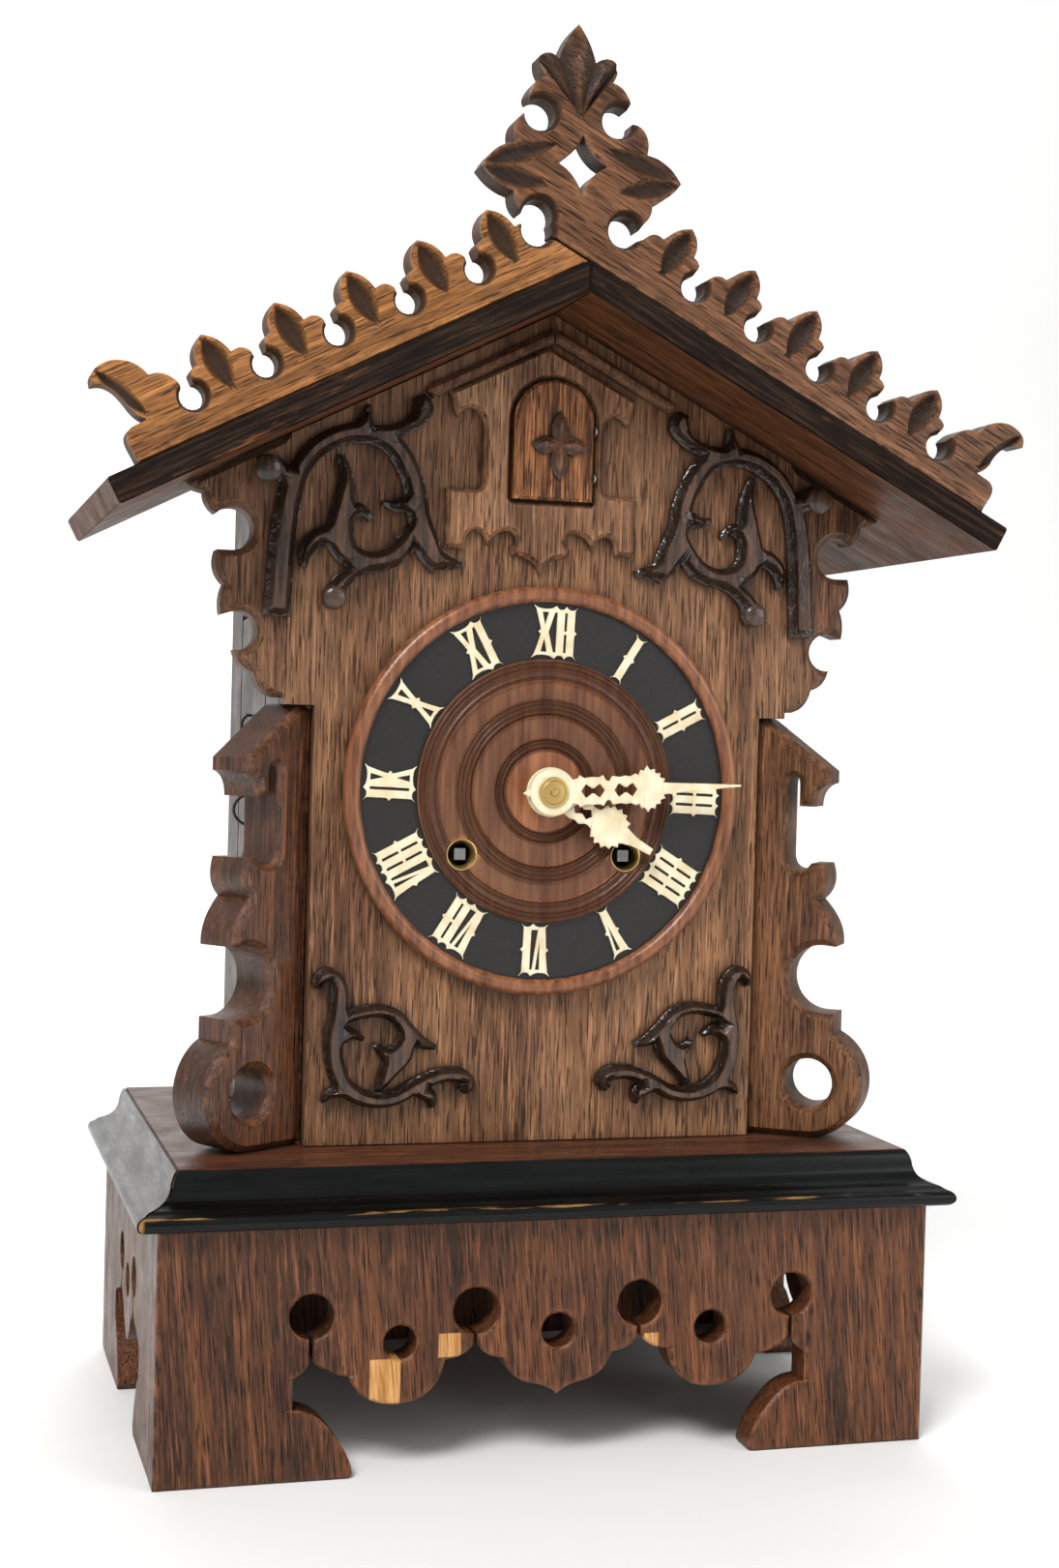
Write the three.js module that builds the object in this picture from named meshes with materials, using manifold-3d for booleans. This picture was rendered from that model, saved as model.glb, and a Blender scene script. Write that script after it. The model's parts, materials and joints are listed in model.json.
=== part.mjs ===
// A spring-driven Black Forest mantel cuckoo clock, in millimetres, +Z up, standing on its feet.
// Every wooden board, carving, wheel and lever is its own closed solid.
import * as THREE from 'three';
import { mergeVertices } from 'three/addons/utils/BufferGeometryUtils.js';
import Module from 'manifold-3d';

const wasm = await Module();
wasm.setup();

// ---------------------------------------------------------------- driving dimensions
// x is measured from the middle, y from the front face of the case, z from the dial's centre.
const HUB_HEIGHT = 228;             // dial centre above the floor
const DIAL_R = 72;                  // outside radius of the dial rim
const GAP = 0.3;                    // between pieces that touch
const BOARD = 12;                   // thickness of the case front, wings and base panels

const CASE_HALF = 92.4;             // half width of the case over its sides
const FRONT_HALF = 82;              // half width of the lower case front
const SHOULDER_Z = 28;              // where the case front widens
const SIDE_WALL = 10;
const CASE_BACK = 126;
const CASE_BOTTOM = -124.7;

const BASE_HALF = 136;
const BASE_FRONT = -39;
const BASE_BACK = 134;
const BASE_TOP = -143;              // top edge of the base panels
const FLOOR = -HUB_HEIGHT;
const CORNICE_HALF = 129.7;         // inner edge of the cornice moulding
const CORNICE_FRONT = -33;
const CORNICE_OUT = 14;             // how far the moulding stands out

const ROOF_FRONT = -42;
const ROOF_BACK = 122;
const ROOF_APEX = 178.9;            // top of the roof ridge
const ROOF_EAVE = 157.8;            // half width at the eaves, along the top
const ROOF_PITCH = Math.atan2(ROOF_APEX - 97.5, ROOF_EAVE);
const ROOF_BOARD = 9.2;
const ROOF_DROP = ROOF_BOARD / Math.cos(ROOF_PITCH);
const ROOF_UNDER = ROOF_APEX - ROOF_DROP;

const CREST_FRONT = -41;
const CREST_BOARD = 12;

const DOOR_HALF = 14.5;             // cuckoo door
const DOOR_BOTTOM = 102.3;
const DOOR_SPRING = 129.8;          // where its arch begins
const DOOR_Y = [-5.2, -1.2];
const DOORWAY_HALF = 12.5;          // the hole behind it in the case front
const DOORWAY_BOTTOM = 104.5;

const ARBOR_X = 30;                 // winding arbors
const ARBOR_Z = -22.5;
const KEY_HOLE_R = 5.6;             // hole in the dial round each winding square
const PLATE_FRONT_Y = 22;           // front faces of the two brass plates
const PLATE_BACK_Y = 66;
const PLATE = 2;

const deg = Math.PI / 180;

// ---------------------------------------------------------------- materials
const paint = (color, roughness, metalness = 0) => () =>
  new THREE.MeshStandardMaterial({ color, roughness, metalness });
const OAK = paint(0x7a5238, 0.55);
const BASE_OAK = paint(0x6a4028, 0.5);
const LIGHT_OAK = paint(0x96683a, 0.5);
const DARK_OAK = paint(0x5a3a28, 0.45);
const BLACK_WOOD = paint(0x191715, 0.4);
const CARVING = paint(0x35261f, 0.4);
const DIAL_WOOD = paint(0x5b2d1a, 0.35);
const PINE = paint(0xb08a5c, 0.7);
const BONE = paint(0xe9dfc4, 0.45);
const BRASS = paint(0xb9923f, 0.35, 1);
const STEEL = paint(0x8d9094, 0.4, 1);
const LEATHER = paint(0x9a7048, 0.8);

// ---------------------------------------------------------------- solid helpers
const clock = new THREE.Group();
clock.position.set(0, -(CORNICE_FRONT - CORNICE_OUT + BASE_BACK) / 2, HUB_HEIGHT);

function add(name, geometry, material) {
  const mesh = new THREE.Mesh(geometry, material());
  mesh.name = name;
  clock.add(mesh);
  return mesh;
}

function toSolid(geometry) {
  const bare = geometry.clone();
  bare.deleteAttribute('normal');
  bare.deleteAttribute('uv');
  const merged = mergeVertices(bare, 1e-4);
  return new wasm.Manifold(new wasm.Mesh({
    numProp: 3,
    vertProperties: new Float32Array(merged.attributes.position.array),
    triVerts: new Uint32Array(merged.index.array),
  }));
}

function toGeometry(solid) {
  const mesh = solid.getMesh();
  const geometry = new THREE.BufferGeometry();
  geometry.setAttribute('position', new THREE.BufferAttribute(mesh.vertProperties, 3));
  geometry.setIndex(new THREE.BufferAttribute(mesh.triVerts, 1));
  return geometry;
}

const join = (...parts) =>
  toGeometry(parts.map(toSolid).reduce((whole, part) => whole.add(part)));
const cut = (body, ...tools) =>
  toGeometry(tools.map(toSolid).reduce((left, tool) => left.subtract(tool), toSolid(body)));

// An outline drawn in (x, z) that stands upright, from its front face y towards the back.
function upright(shape, y, thickness, curveSegments = 6) {
  const geometry = new THREE.ExtrudeGeometry(shape,
    { depth: thickness, bevelEnabled: false, curveSegments });
  return geometry.rotateX(Math.PI / 2).translate(0, y + thickness, 0);
}

// An outline drawn in (y, z) that stands across the clock, from x towards +X.
function sideways(shape, x, thickness) {
  const geometry = new THREE.ExtrudeGeometry(shape, { depth: thickness, bevelEnabled: false });
  return geometry.rotateX(Math.PI / 2).rotateZ(Math.PI / 2).translate(x, 0, 0);
}

function box(x0, x1, y0, y1, z0, z1) {
  return new THREE.BoxGeometry(x1 - x0, y1 - y0, z1 - z0)
    .translate((x0 + x1) / 2, (y0 + y1) / 2, (z0 + z1) / 2);
}

// A round bar along Y.
function rod(x, z, radius, y0, y1, sides = 16) {
  return new THREE.CylinderGeometry(radius, radius, y1 - y0, sides)
    .translate(x, (y0 + y1) / 2, z);
}

function polygon(points) {
  return new THREE.Shape(points.map(([x, z]) => new THREE.Vector2(x, z)));
}

function flip(geometry) {
  const solid = toSolid(geometry).mirror([1, 0, 0]);
  return toGeometry(solid);
}

const sided = (side, geometry) => (side === 'left' ? flip(geometry) : geometry);

// ---------------------------------------------------------------- base
// Right half of the fretted lower edge of the front panel, from the middle to the foot.
function frontPanelOutline() {
  const half = new THREE.Path();
  half.moveTo(0, -203.7);
  half.quadraticCurveTo(3, -200.6, 9, -199.6);
  half.quadraticCurveTo(17, -198, 19.3, -190.3);
  half.quadraticCurveTo(27, -189.5, 29, -184);
  half.quadraticCurveTo(31.5, -189.4, 39.3, -190);
  half.quadraticCurveTo(42, -204, 56, -204);
  half.quadraticCurveTo(69, -203.6, 72.3, -193.8);
  half.quadraticCurveTo(81, -193, 85, -187.3);
  half.quadraticCurveTo(85.6, -191, 90.8, -194);
  half.lineTo(90.8, -204.2);
  half.quadraticCurveTo(83, -204.6, 78, -211.5);
  half.quadraticCurveTo(71.4, -219, 70.2, -226);
  half.quadraticCurveTo(70.4, FLOOR, 72.6, FLOOR);
  half.lineTo(BASE_HALF, FLOOR);
  half.lineTo(BASE_HALF, BASE_TOP);
  const right = half.getPoints(5);
  const left = right.slice(1).reverse().map((p) => new THREE.Vector2(-p.x, p.y));
  return new THREE.Shape([...left, ...right]);
}

function keyhole(x, z, radius, slitBottom, y0, y1) {
  const slit = 0.7;
  return [rod(x, z, radius, y0, y1, 28), box(x - slit, x + slit, y0, y1, slitBottom, z)];
}

function baseFront() {
  const y0 = BASE_FRONT - 1;
  const y1 = BASE_FRONT + BOARD + 1;
  const holes = [];
  for (const s of [-1, 1]) {
    holes.push(...keyhole(s * 29, -174, 8, -186, y0, y1));
    holes.push(...keyhole(s * 85, -173.5, 7.6, -189, y0, y1));
    holes.push(rod(s * 55, -183.5, 5.8, y0, y1, 24));
  }
  holes.push(rod(0, -182, 6, y0, y1, 24));
  return cut(upright(frontPanelOutline(), BASE_FRONT, BOARD), ...holes);
}

// The side panels repeat the fretting between two feet, drawn in (y, z).
function sidePanelOutline(y0, y1) {
  const middle = (y0 + y1) / 2;
  const foot = 34;
  const half = new THREE.Path();
  const end = (y1 - y0) / 2;
  half.moveTo(0, -202);
  half.quadraticCurveTo(8, -199, 12, -191);
  half.quadraticCurveTo(18, -189, 20, -184);
  half.quadraticCurveTo(22, -189, 28, -190);
  half.quadraticCurveTo(34, -191, end - foot, -194);
  half.lineTo(end - foot, -204);
  half.quadraticCurveTo(end - foot - 8, -206, end - foot - 15, FLOOR + 3);
  half.lineTo(end - foot - 13, FLOOR);
  half.lineTo(end, FLOOR);
  half.lineTo(end, BASE_TOP);
  const back = half.getPoints(5);
  const front = back.slice(1).reverse().map((p) => new THREE.Vector2(-p.x, p.y));
  return new THREE.Shape([...front, ...back].map((p) => new THREE.Vector2(p.x + middle, p.y)));
}

function crossHole(y, z, radius) {
  return new THREE.CylinderGeometry(radius, radius, 2 * BASE_HALF + 10, 20)
    .rotateZ(Math.PI / 2).translate(0, y, z);
}

function baseSide() {
  const y0 = BASE_FRONT + BOARD + GAP;
  const y1 = BASE_BACK - BOARD - GAP;
  const middle = (y0 + y1) / 2;
  const panel = sideways(sidePanelOutline(y0, y1), BASE_HALF - BOARD, BOARD);
  const slits = [-20, 20].map((d) =>
    box(BASE_HALF - BOARD - 1, BASE_HALF + 1, middle + d - 0.7, middle + d + 0.7, -186, -176));
  return cut(panel, crossHole(middle, -180, 6), crossHole(middle - 20, -174, 7),
    crossHole(middle + 20, -174, 7), ...slits);
}

function addBase() {
  add('base_front', baseFront(), BASE_OAK);
  for (const side of ['left', 'right']) {
    add(`base_side_${side}`, sided(side, baseSide()), BASE_OAK);
  }
  add('base_back', box(-BASE_HALF, BASE_HALF, BASE_BACK - BOARD, BASE_BACK, FLOOR, BASE_TOP),
    BASE_OAK);
  const inner = CORNICE_HALF - GAP;
  add('base_top', box(-inner, inner, CORNICE_FRONT + GAP, BASE_BACK, BASE_TOP + GAP,
    CASE_BOTTOM), OAK);
}

// Section of the cornice: out is the distance in front of its inner edge.
function corniceSection() {
  const bead = 2.6;
  const section = new THREE.Path();
  section.moveTo(0, BASE_TOP + GAP);
  section.lineTo(CORNICE_OUT - bead, BASE_TOP + GAP);
  section.absarc(CORNICE_OUT - bead, BASE_TOP + GAP + bead, bead, -90 * deg, 90 * deg);
  section.lineTo(9.8, -136.4);
  section.quadraticCurveTo(3.2, -135.4, 2.2, -130.4);
  section.quadraticCurveTo(1.8, -126.6, 0, CASE_BOTTOM);
  return section.getPoints(6);
}

// Sweeps the section along a straight run whose ends are mitred or square.
function moulding(start, end, place) {
  const shape = new THREE.Shape(corniceSection());
  const geometry = new THREE.ExtrudeGeometry(shape, { depth: 1, bevelEnabled: false });
  const position = geometry.attributes.position;
  for (let i = 0; i < position.count; i += 1) {
    const out = position.getX(i);
    const up = position.getY(i);
    const run = position.getZ(i) > 0.5 ? start(out) : end(out);
    position.setXYZ(i, ...place(run, out, up));
  }
  return geometry;
}

function addCornice() {
  const front = moulding((out) => -(CORNICE_HALF + out - GAP), (out) => CORNICE_HALF + out - GAP,
    (run, out, up) => [run, CORNICE_FRONT - out, up]);
  const side = moulding((out) => CORNICE_FRONT - out + GAP, () => BASE_BACK,
    (run, out, up) => [CORNICE_HALF + out, run, up]);
  add('cornice_front', front, BLACK_WOOD);
  add('cornice_right', side, BLACK_WOOD);
  add('cornice_left', flip(side), BLACK_WOOD);
}

// ---------------------------------------------------------------- case
const roofLine = (x) => ROOF_UNDER - GAP * 1.4 - Math.abs(x) * Math.tan(ROOF_PITCH);

function archShape(half, bottom, spring) {
  const shape = new THREE.Shape();
  shape.moveTo(-half, bottom);
  shape.lineTo(half, bottom);
  shape.lineTo(half, spring);
  shape.absarc(0, spring, half, 0, Math.PI);
  shape.lineTo(-half, bottom);
  return shape;
}

function gableOutline(half, lower, clearance) {
  return polygon([[-lower, CASE_BOTTOM + GAP], [lower, CASE_BOTTOM + GAP], [lower, SHOULDER_Z],
    [half, SHOULDER_Z], [half, roofLine(half) - clearance], [0, roofLine(0) - clearance],
    [-half, roofLine(half) - clearance], [-half, SHOULDER_Z], [-lower, SHOULDER_Z]]);
}

function caseFront() {
  const board = upright(gableOutline(CASE_HALF - GAP, FRONT_HALF, 0), 0, BOARD);
  const doorway = upright(archShape(DOORWAY_HALF, DOORWAY_BOTTOM, DOOR_SPRING), -1, BOARD + 2, 10);
  const handHole = rod(0, 0, 5, -1, BOARD + 1, 20);
  const windingHoles = [-ARBOR_X, ARBOR_X].map((x) =>
    rod(x, ARBOR_Z, KEY_HOLE_R + 1.4, -1, BOARD + 1, 20));
  return cut(board, doorway, handHole, ...windingHoles);
}

// Right wing: a fretted board that widens the gable out to the eaves.
function wingOutline() {
  const inner = CASE_HALF;
  const wing = new THREE.Shape();
  wing.moveTo(inner, 30.3);
  wing.lineTo(95.6, 30.4);
  wing.quadraticCurveTo(101.6, 32, 103, 38.8);
  wing.quadraticCurveTo(108.2, 40, 109.6, 45.8);
  wing.absarc(108.7, 52.8, 6.8, -80 * deg, -280 * deg, true);
  wing.lineTo(114.4, 58);
  wing.quadraticCurveTo(115.6, 63.6, 113.5, 68.4);
  wing.quadraticCurveTo(118.6, 73, 116.4, 80);
  wing.lineTo(111.7, 80);
  wing.absarc(111.4, 87.4, 7.4, -88 * deg, -318 * deg, true);
  wing.quadraticCurveTo(120.8, 95, 121, 99.4);
  wing.quadraticCurveTo(126, 100.4, 127.8, roofLine(127.8));
  wing.lineTo(inner, roofLine(inner));
  return wing;
}

function addCase() {
  add('case_front', caseFront(), OAK);
  const depth = CASE_BACK - BOARD - GAP;
  const hatch = { y0: 42, y1: 100, z0: -62, z1: 62 };
  for (const side of ['left', 'right']) {
    add(`wing_${side}`, sided(side, upright(wingOutline(), 0, BOARD, 8)), OAK);
    const wall = box(CASE_HALF - SIDE_WALL, CASE_HALF - GAP, BOARD + GAP, BOARD + GAP + depth,
      CASE_BOTTOM + GAP, roofLine(CASE_HALF) - 0.2);
    const hole = box(CASE_HALF - SIDE_WALL - 1, CASE_HALF + 1, hatch.y0, hatch.y1,
      hatch.z0, hatch.z1);
    add(`case_side_${side}`, sided(side, cut(wall, hole)), OAK);
    const clear = 0.6;
    add(`side_door_${side}`, sided(side, box(CASE_HALF - 7, CASE_HALF - GAP, hatch.y0 + clear,
      hatch.y1 - clear, hatch.z0 + clear, hatch.z1 - clear)), OAK);
  }
  const inner = CASE_HALF - SIDE_WALL - 0.6;
  const back = polygon([[-inner, CASE_BOTTOM + GAP], [inner, CASE_BOTTOM + GAP],
    [inner, roofLine(inner) - 0.6], [0, roofLine(0) - 0.6], [-inner, roofLine(inner) - 0.6]]);
  add('back_door', upright(back, CASE_BACK - 8, 8), PINE);
}

// ---------------------------------------------------------------- roof and crest
function addRoof() {
  const end = ROOF_EAVE - Math.sin(ROOF_PITCH) * ROOF_BOARD;
  const under = ROOF_APEX - ROOF_EAVE * Math.tan(ROOF_PITCH) - Math.cos(ROOF_PITCH) * ROOF_BOARD;
  const ridge = GAP / 2;
  const slab = polygon([[ridge, ROOF_UNDER], [end, under],
    [ROOF_EAVE, ROOF_APEX - ROOF_EAVE * Math.tan(ROOF_PITCH)], [ridge, ROOF_APEX]]);
  for (const side of ['left', 'right']) {
    add(`roof_${side}`, sided(side, upright(slab, ROOF_FRONT, ROOF_BACK - ROOF_FRONT)), DARK_OAK);
  }
}

// Crest outlines are drawn in (along, up): along the slope down from the ridge, and square to it.
const CREST_LIFT = 0.2;
const CREST_BODY = 9;
const LEAF_PITCH = 26.2;
const FIRST_KEYHOLE = 10.2;
const KEYHOLE_R = 4.3;
const KEYHOLE_UP = 12.2;

// The finial leans a little to the left, so its points are measured from its own axis.
const FINIAL = { axis: -3.2, lean: 0.06, level: 208 };
const onFinial = (x, z) =>
  new THREE.Vector2(x + FINIAL.axis - FINIAL.lean * (z - FINIAL.level), z);
const STAR = { x: -3.4, z: 210.7, halfWidth: 8.8, halfHeight: 9.8, waist: 0.3 };
const CUT_R = 5.4;                  // round cuts beside the finial
const SHOULDER = { x: 13.6, z: 226.6 };
const LEFT_NECK = [[-18, 193], [-18, 188.2]];
const RIGHT_NECK = [12.5, 190.2];

function slopePoint(along, up) {
  const rise = up + CREST_LIFT;
  return new THREE.Vector2(along * Math.cos(ROOF_PITCH) + rise * Math.sin(ROOF_PITCH),
    ROOF_APEX - along * Math.sin(ROOF_PITCH) + rise * Math.cos(ROOF_PITCH));
}

function crestBoard(path) {
  const points = path.getPoints(4).map((p) => slopePoint(p.x, p.y));
  return upright(new THREE.Shape(points), CREST_FRONT, CREST_BOARD);
}

// One leaf with its small lobe, between two keyholes. end is where it stops down the slope.
function leaf(index) {
  const end = FIRST_KEYHOLE + (index + 1) * LEAF_PITCH;
  const path = new THREE.Path();
  path.moveTo(end, 1);
  path.lineTo(end, 14);
  path.lineTo(end - 1.4, 16.4);
  path.quadraticCurveTo(end - 1.8, 20.2, end - 5.4, 20.6);
  path.quadraticCurveTo(end - 5.4, 26, end - 10.6, 28.7);
  path.quadraticCurveTo(end - 15.8, 26, end - 17.2, 20);
  path.quadraticCurveTo(end - 22, 21.4, end - 23.6, 16.4);
  path.lineTo(end - LEAF_PITCH, 14);
  path.lineTo(end - LEAF_PITCH, 1);
  return crestBoard(path);
}

function endScroll() {
  const path = new THREE.Path();
  path.moveTo(FIRST_KEYHOLE + 5 * LEAF_PITCH, 1);
  path.lineTo(FIRST_KEYHOLE + 5 * LEAF_PITCH, 14);
  path.lineTo(143.4, 16.8);
  path.quadraticCurveTo(145.6, 23.6, 151.4, 23.8);
  path.quadraticCurveTo(153.4, 30.8, 160.5, 32.6);
  path.quadraticCurveTo(168.6, 33.4, 169, 28);
  path.quadraticCurveTo(163.4, 27.6, 161.6, 19.4);
  path.quadraticCurveTo(160.6, 13.4, 158, 11.2);
  path.lineTo(163.4, 11);
  path.quadraticCurveTo(166.6, 10.4, 166.6, 6.6);
  path.lineTo(166.4, 1);
  return crestBoard(path);
}

// Half of the finial, from its tip down to the lip over the lower round cut.
function finialHalf() {
  const half = new THREE.Path();
  half.moveTo(0, 257);
  half.quadraticCurveTo(4.2, 252.5, 6.4, 245.4);
  half.quadraticCurveTo(10, 248, 13.4, 245.6);
  half.quadraticCurveTo(14, 242, 11.6, 238.8);
  half.quadraticCurveTo(16, 238, 17.6, 232.4);
  half.lineTo(16.2, 228.6);
  half.lineTo(20, 225.8);
  half.quadraticCurveTo(25, 222.4, 23, 216);
  half.quadraticCurveTo(30.6, 215, 34.8, 207.4);
  half.quadraticCurveTo(30.6, 201.6, 24.2, 200);
  half.quadraticCurveTo(24.4, 195.6, 21.4, 193.2);
  return half.getPoints(4);
}

function starHole() {
  const { x, z, halfWidth, halfHeight, waist } = STAR;
  const star = new THREE.Shape();
  const corners = [[1, 0], [0, 1], [-1, 0], [0, -1], [1, 0]];
  star.moveTo(x + halfWidth, z);
  for (let i = 1; i < corners.length; i += 1) {
    const [across, up] = corners[i];
    const [across0, up0] = corners[i - 1];
    star.quadraticCurveTo(x + (across + across0) * halfWidth * waist,
      z + (up + up0) * halfHeight * waist, x + across * halfWidth, z + up * halfHeight);
  }
  return upright(star, CREST_FRONT - 1, CREST_BOARD + 2, 4);
}

function addCrests() {
  const through = [CREST_FRONT - 1, CREST_FRONT + CREST_BOARD + 1];
  const keyholes = [1, 2, 3, 4, 5].flatMap((i) => {
    const along = FIRST_KEYHOLE + i * LEAF_PITCH;
    const hole = slopePoint(along, KEYHOLE_UP);
    const mouth = new THREE.Path();
    mouth.moveTo(along - 2, KEYHOLE_UP);
    mouth.lineTo(along + 2, KEYHOLE_UP);
    mouth.lineTo(along + 2.4, 20);
    mouth.lineTo(along - 2.4, 20);
    const slot = new THREE.Shape(mouth.getPoints(1).map((p) => slopePoint(p.x, p.y)));
    return [rod(hole.x, hole.y, KEYHOLE_R, ...through, 18),
      upright(slot, CREST_FRONT - 1, CREST_BOARD + 2)];
  });
  const roundCut = ([x, z]) => rod(x, z, CUT_R, ...through, 24);
  const leftNeck = LEFT_NECK.map(roundCut);
  const shoulders = [-SHOULDER.x, SHOULDER.x].map((x) => {
    const centre = onFinial(x, SHOULDER.z);
    return roundCut([centre.x, centre.y]);
  });
  const leaves = [0, 1, 2, 3, 4].map(leaf);
  // The left board stops at a seam that carries on the line of the right-hand slope.
  const seamSlope = Math.tan(2 * ROOF_PITCH);
  const strip = new THREE.Path();
  strip.moveTo(0.6, 0);
  strip.lineTo(166.4, 0);
  strip.lineTo(164, CREST_BODY);
  strip.lineTo(12, CREST_BODY);
  strip.lineTo(12, 13.4);
  strip.lineTo(0.6 + 13.4 / seamSlope, 13.4);
  const left = flip(cut(join(crestBoard(strip), ...leaves, endScroll()), ...keyholes));
  add('crest_left', cut(left, ...leftNeck), LIGHT_OAK);

  const half = finialHalf();
  const rightHalf = half.map((p) => onFinial(p.x, p.y));
  const leftHalf = half.slice(1).reverse().map((p) => onFinial(-p.x, p.y));
  const seam = (x) => ROOF_APEX + CREST_LIFT + Math.abs(x) * Math.tan(ROOF_PITCH) + 0.2;
  const root = [[16, 188], [16, 174], [6, 174], [0, ROOF_APEX + 0.5], [-9.6, seam(9.6)],
    [-15, 188]].map(([x, z]) => new THREE.Vector2(x, z));
  const finial = new THREE.Shape([...leftHalf, ...rightHalf, ...root]);
  const foot = new THREE.Path();
  foot.moveTo(0, 0);
  foot.lineTo(166.4, 0);
  foot.lineTo(164, CREST_BODY);
  foot.lineTo(0, CREST_BODY);
  const below = polygon([[-30, 150], [40, 150], [200, ROOF_APEX + CREST_LIFT
    - 200 * Math.tan(ROOF_PITCH)], [0, ROOF_APEX + CREST_LIFT]]);
  const body = join(upright(finial, CREST_FRONT, CREST_BOARD), crestBoard(foot), ...leaves,
    endScroll());
  const right = cut(body, upright(below, CREST_FRONT - 1, CREST_BOARD + 2), ...keyholes,
    roundCut(RIGHT_NECK), ...leftNeck, ...shoulders, starHole());
  add('crest_right', right, DARK_OAK);
}

// ---------------------------------------------------------------- corner buttresses
// The profile is drawn in (out, z) and stands 35 degrees forward from the corner of the case.
const BUTTRESS = { x: 82.5, y: 5, turn: -35 * deg, thick: 18, ringOut: 23.2, ringZ: -104.5 };

function buttress() {
  const { ringOut, ringZ } = BUTTRESS;
  const outline = new THREE.Shape();
  outline.moveTo(0, CASE_BOTTOM + GAP);
  outline.lineTo(ringOut, CASE_BOTTOM + GAP);
  outline.absarc(ringOut, ringZ, 19.9, -90 * deg, 64 * deg, false);
  outline.lineTo(31.9, -79);
  outline.lineTo(27, -79);
  outline.absarc(27.1, -66.5, 12.5, -90 * deg, -270 * deg, true);
  outline.lineTo(32, -54.4);
  outline.quadraticCurveTo(32.6, -46, 24.6, -38);
  outline.quadraticCurveTo(30.4, -33, 27.4, -24.4);
  outline.lineTo(22, -24.4);
  outline.quadraticCurveTo(20.4, -27, 17.6, -27);
  outline.quadraticCurveTo(12.9, -27, 12.9, -21);
  outline.lineTo(12.9, 3);
  outline.quadraticCurveTo(12.9, 8, 15, 8);
  outline.quadraticCurveTo(17, 8, 17, 3);
  outline.lineTo(17, -3.7);
  outline.lineTo(22.7, -3.7);
  outline.quadraticCurveTo(22.7, 3.4, 28.3, 5);
  outline.lineTo(28.3, 9.5);
  outline.lineTo(0, 31);
  const board = new THREE.ExtrudeGeometry(outline,
    { depth: BUTTRESS.thick, bevelEnabled: false, curveSegments: 12 })
    .rotateX(Math.PI / 2).translate(0, BUTTRESS.thick, 0);
  const ring = rod(ringOut, ringZ, 8.8, -1, BUTTRESS.thick + 1, 28);
  const turned = cut(board, ring).rotateZ(BUTTRESS.turn).translate(BUTTRESS.x, BUTTRESS.y, 0);
  const corner = box(0, CASE_HALF, BOARD, 60, CASE_BOTTOM - 5, 60);
  const above = box(0, CASE_HALF + 40, -60, 60, SHOULDER_Z - GAP, 60);
  return cut(turned, corner, above);
}

// ---------------------------------------------------------------- pieces on the case front
const SURROUND_X = -3.4;            // the fretted panel sits a little left of the door
const SURROUND_THICK = 3.6;
const ROSETTE = { x: 1.6, z: 121.4, across: 10.2, tall: 12, waist: 2.6, thick: 3.4 };

// Underside of the two gable mouldings.
const gableLine = (x) => 157.4 - x * Math.tan(27 * deg);

function surroundHalf() {
  const half = new THREE.Path();
  half.moveTo(0, 76.4);
  half.quadraticCurveTo(2, 82.2, 10.4, 82.6);
  half.lineTo(11, 85.4);
  half.lineTo(8.6, 87);
  half.quadraticCurveTo(9.6, 91.4, 12.6, 91);
  half.quadraticCurveTo(17, 90.6, 19, 85.4);
  half.quadraticCurveTo(21.4, 91.4, 25, 90.4);
  half.quadraticCurveTo(27.4, 89.6, 27.6, 84);
  half.lineTo(34.6, 84);
  half.lineTo(34.6, 105);
  half.lineTo(25, 105);
  half.quadraticCurveTo(21.8, 104, 21.6, 109);
  half.lineTo(21.6, 127);
  half.quadraticCurveTo(23, 133.4, 26.8, 133);
  half.quadraticCurveTo(29.4, 132.4, 30.8, 129.6);
  half.quadraticCurveTo(33, 131.6, 33.2, 136.4);
  half.lineTo(34.6, 138.8);
  half.lineTo(0, 156.6);
  return half.getPoints(4);
}

function doorSurround() {
  const right = surroundHalf();
  const left = right.slice(1, -1).reverse().map((p) => new THREE.Vector2(-p.x, p.y));
  const shape = new THREE.Shape([...left, ...right].map((p) =>
    new THREE.Vector2(p.x + SURROUND_X, p.y)));
  const opening = archShape(DOOR_HALF + 0.6, DOOR_BOTTOM - 0.6, DOOR_SPRING);
  return cut(upright(shape, -SURROUND_THICK - GAP, SURROUND_THICK),
    upright(opening, -SURROUND_THICK - 2, SURROUND_THICK + 4, 12),
    upright(polygon([[-60, gableLine(60)], [0, gableLine(0)], [60, gableLine(60)], [60, 200],
      [-60, 200]]), -10, 12));
}

function gableMoulding() {
  const under = (x) => gableLine(x) + GAP;
  return upright(polygon([[GAP / 2, under(0)], [43.2, under(43.2)], [45.8, under(45.8) + 3.6],
    [45.2, under(45.2) + 5], [GAP / 2, under(0) + 5]]), -4.3, 4);
}

// Four almond petals round a small square waist.
function rosette() {
  const { x, z, across, tall, waist, thick } = ROSETTE;
  const star = new THREE.Shape();
  star.moveTo(across, 0);
  star.quadraticCurveTo(6.6, 4.6, waist, waist);
  star.quadraticCurveTo(4.4, 7.4, 0, tall);
  star.quadraticCurveTo(-4.4, 7.4, -waist, waist);
  star.quadraticCurveTo(-6.6, 4.6, -across, 0);
  star.quadraticCurveTo(-6.6, -4.6, -waist, -waist);
  star.quadraticCurveTo(-4.4, -7.4, 0, -tall);
  star.quadraticCurveTo(4.4, -7.4, waist, -waist);
  star.quadraticCurveTo(6.6, -4.6, across, 0);
  return upright(star, DOOR_Y[0] - GAP - thick, thick, 4).translate(x, 0, z);
}

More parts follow.
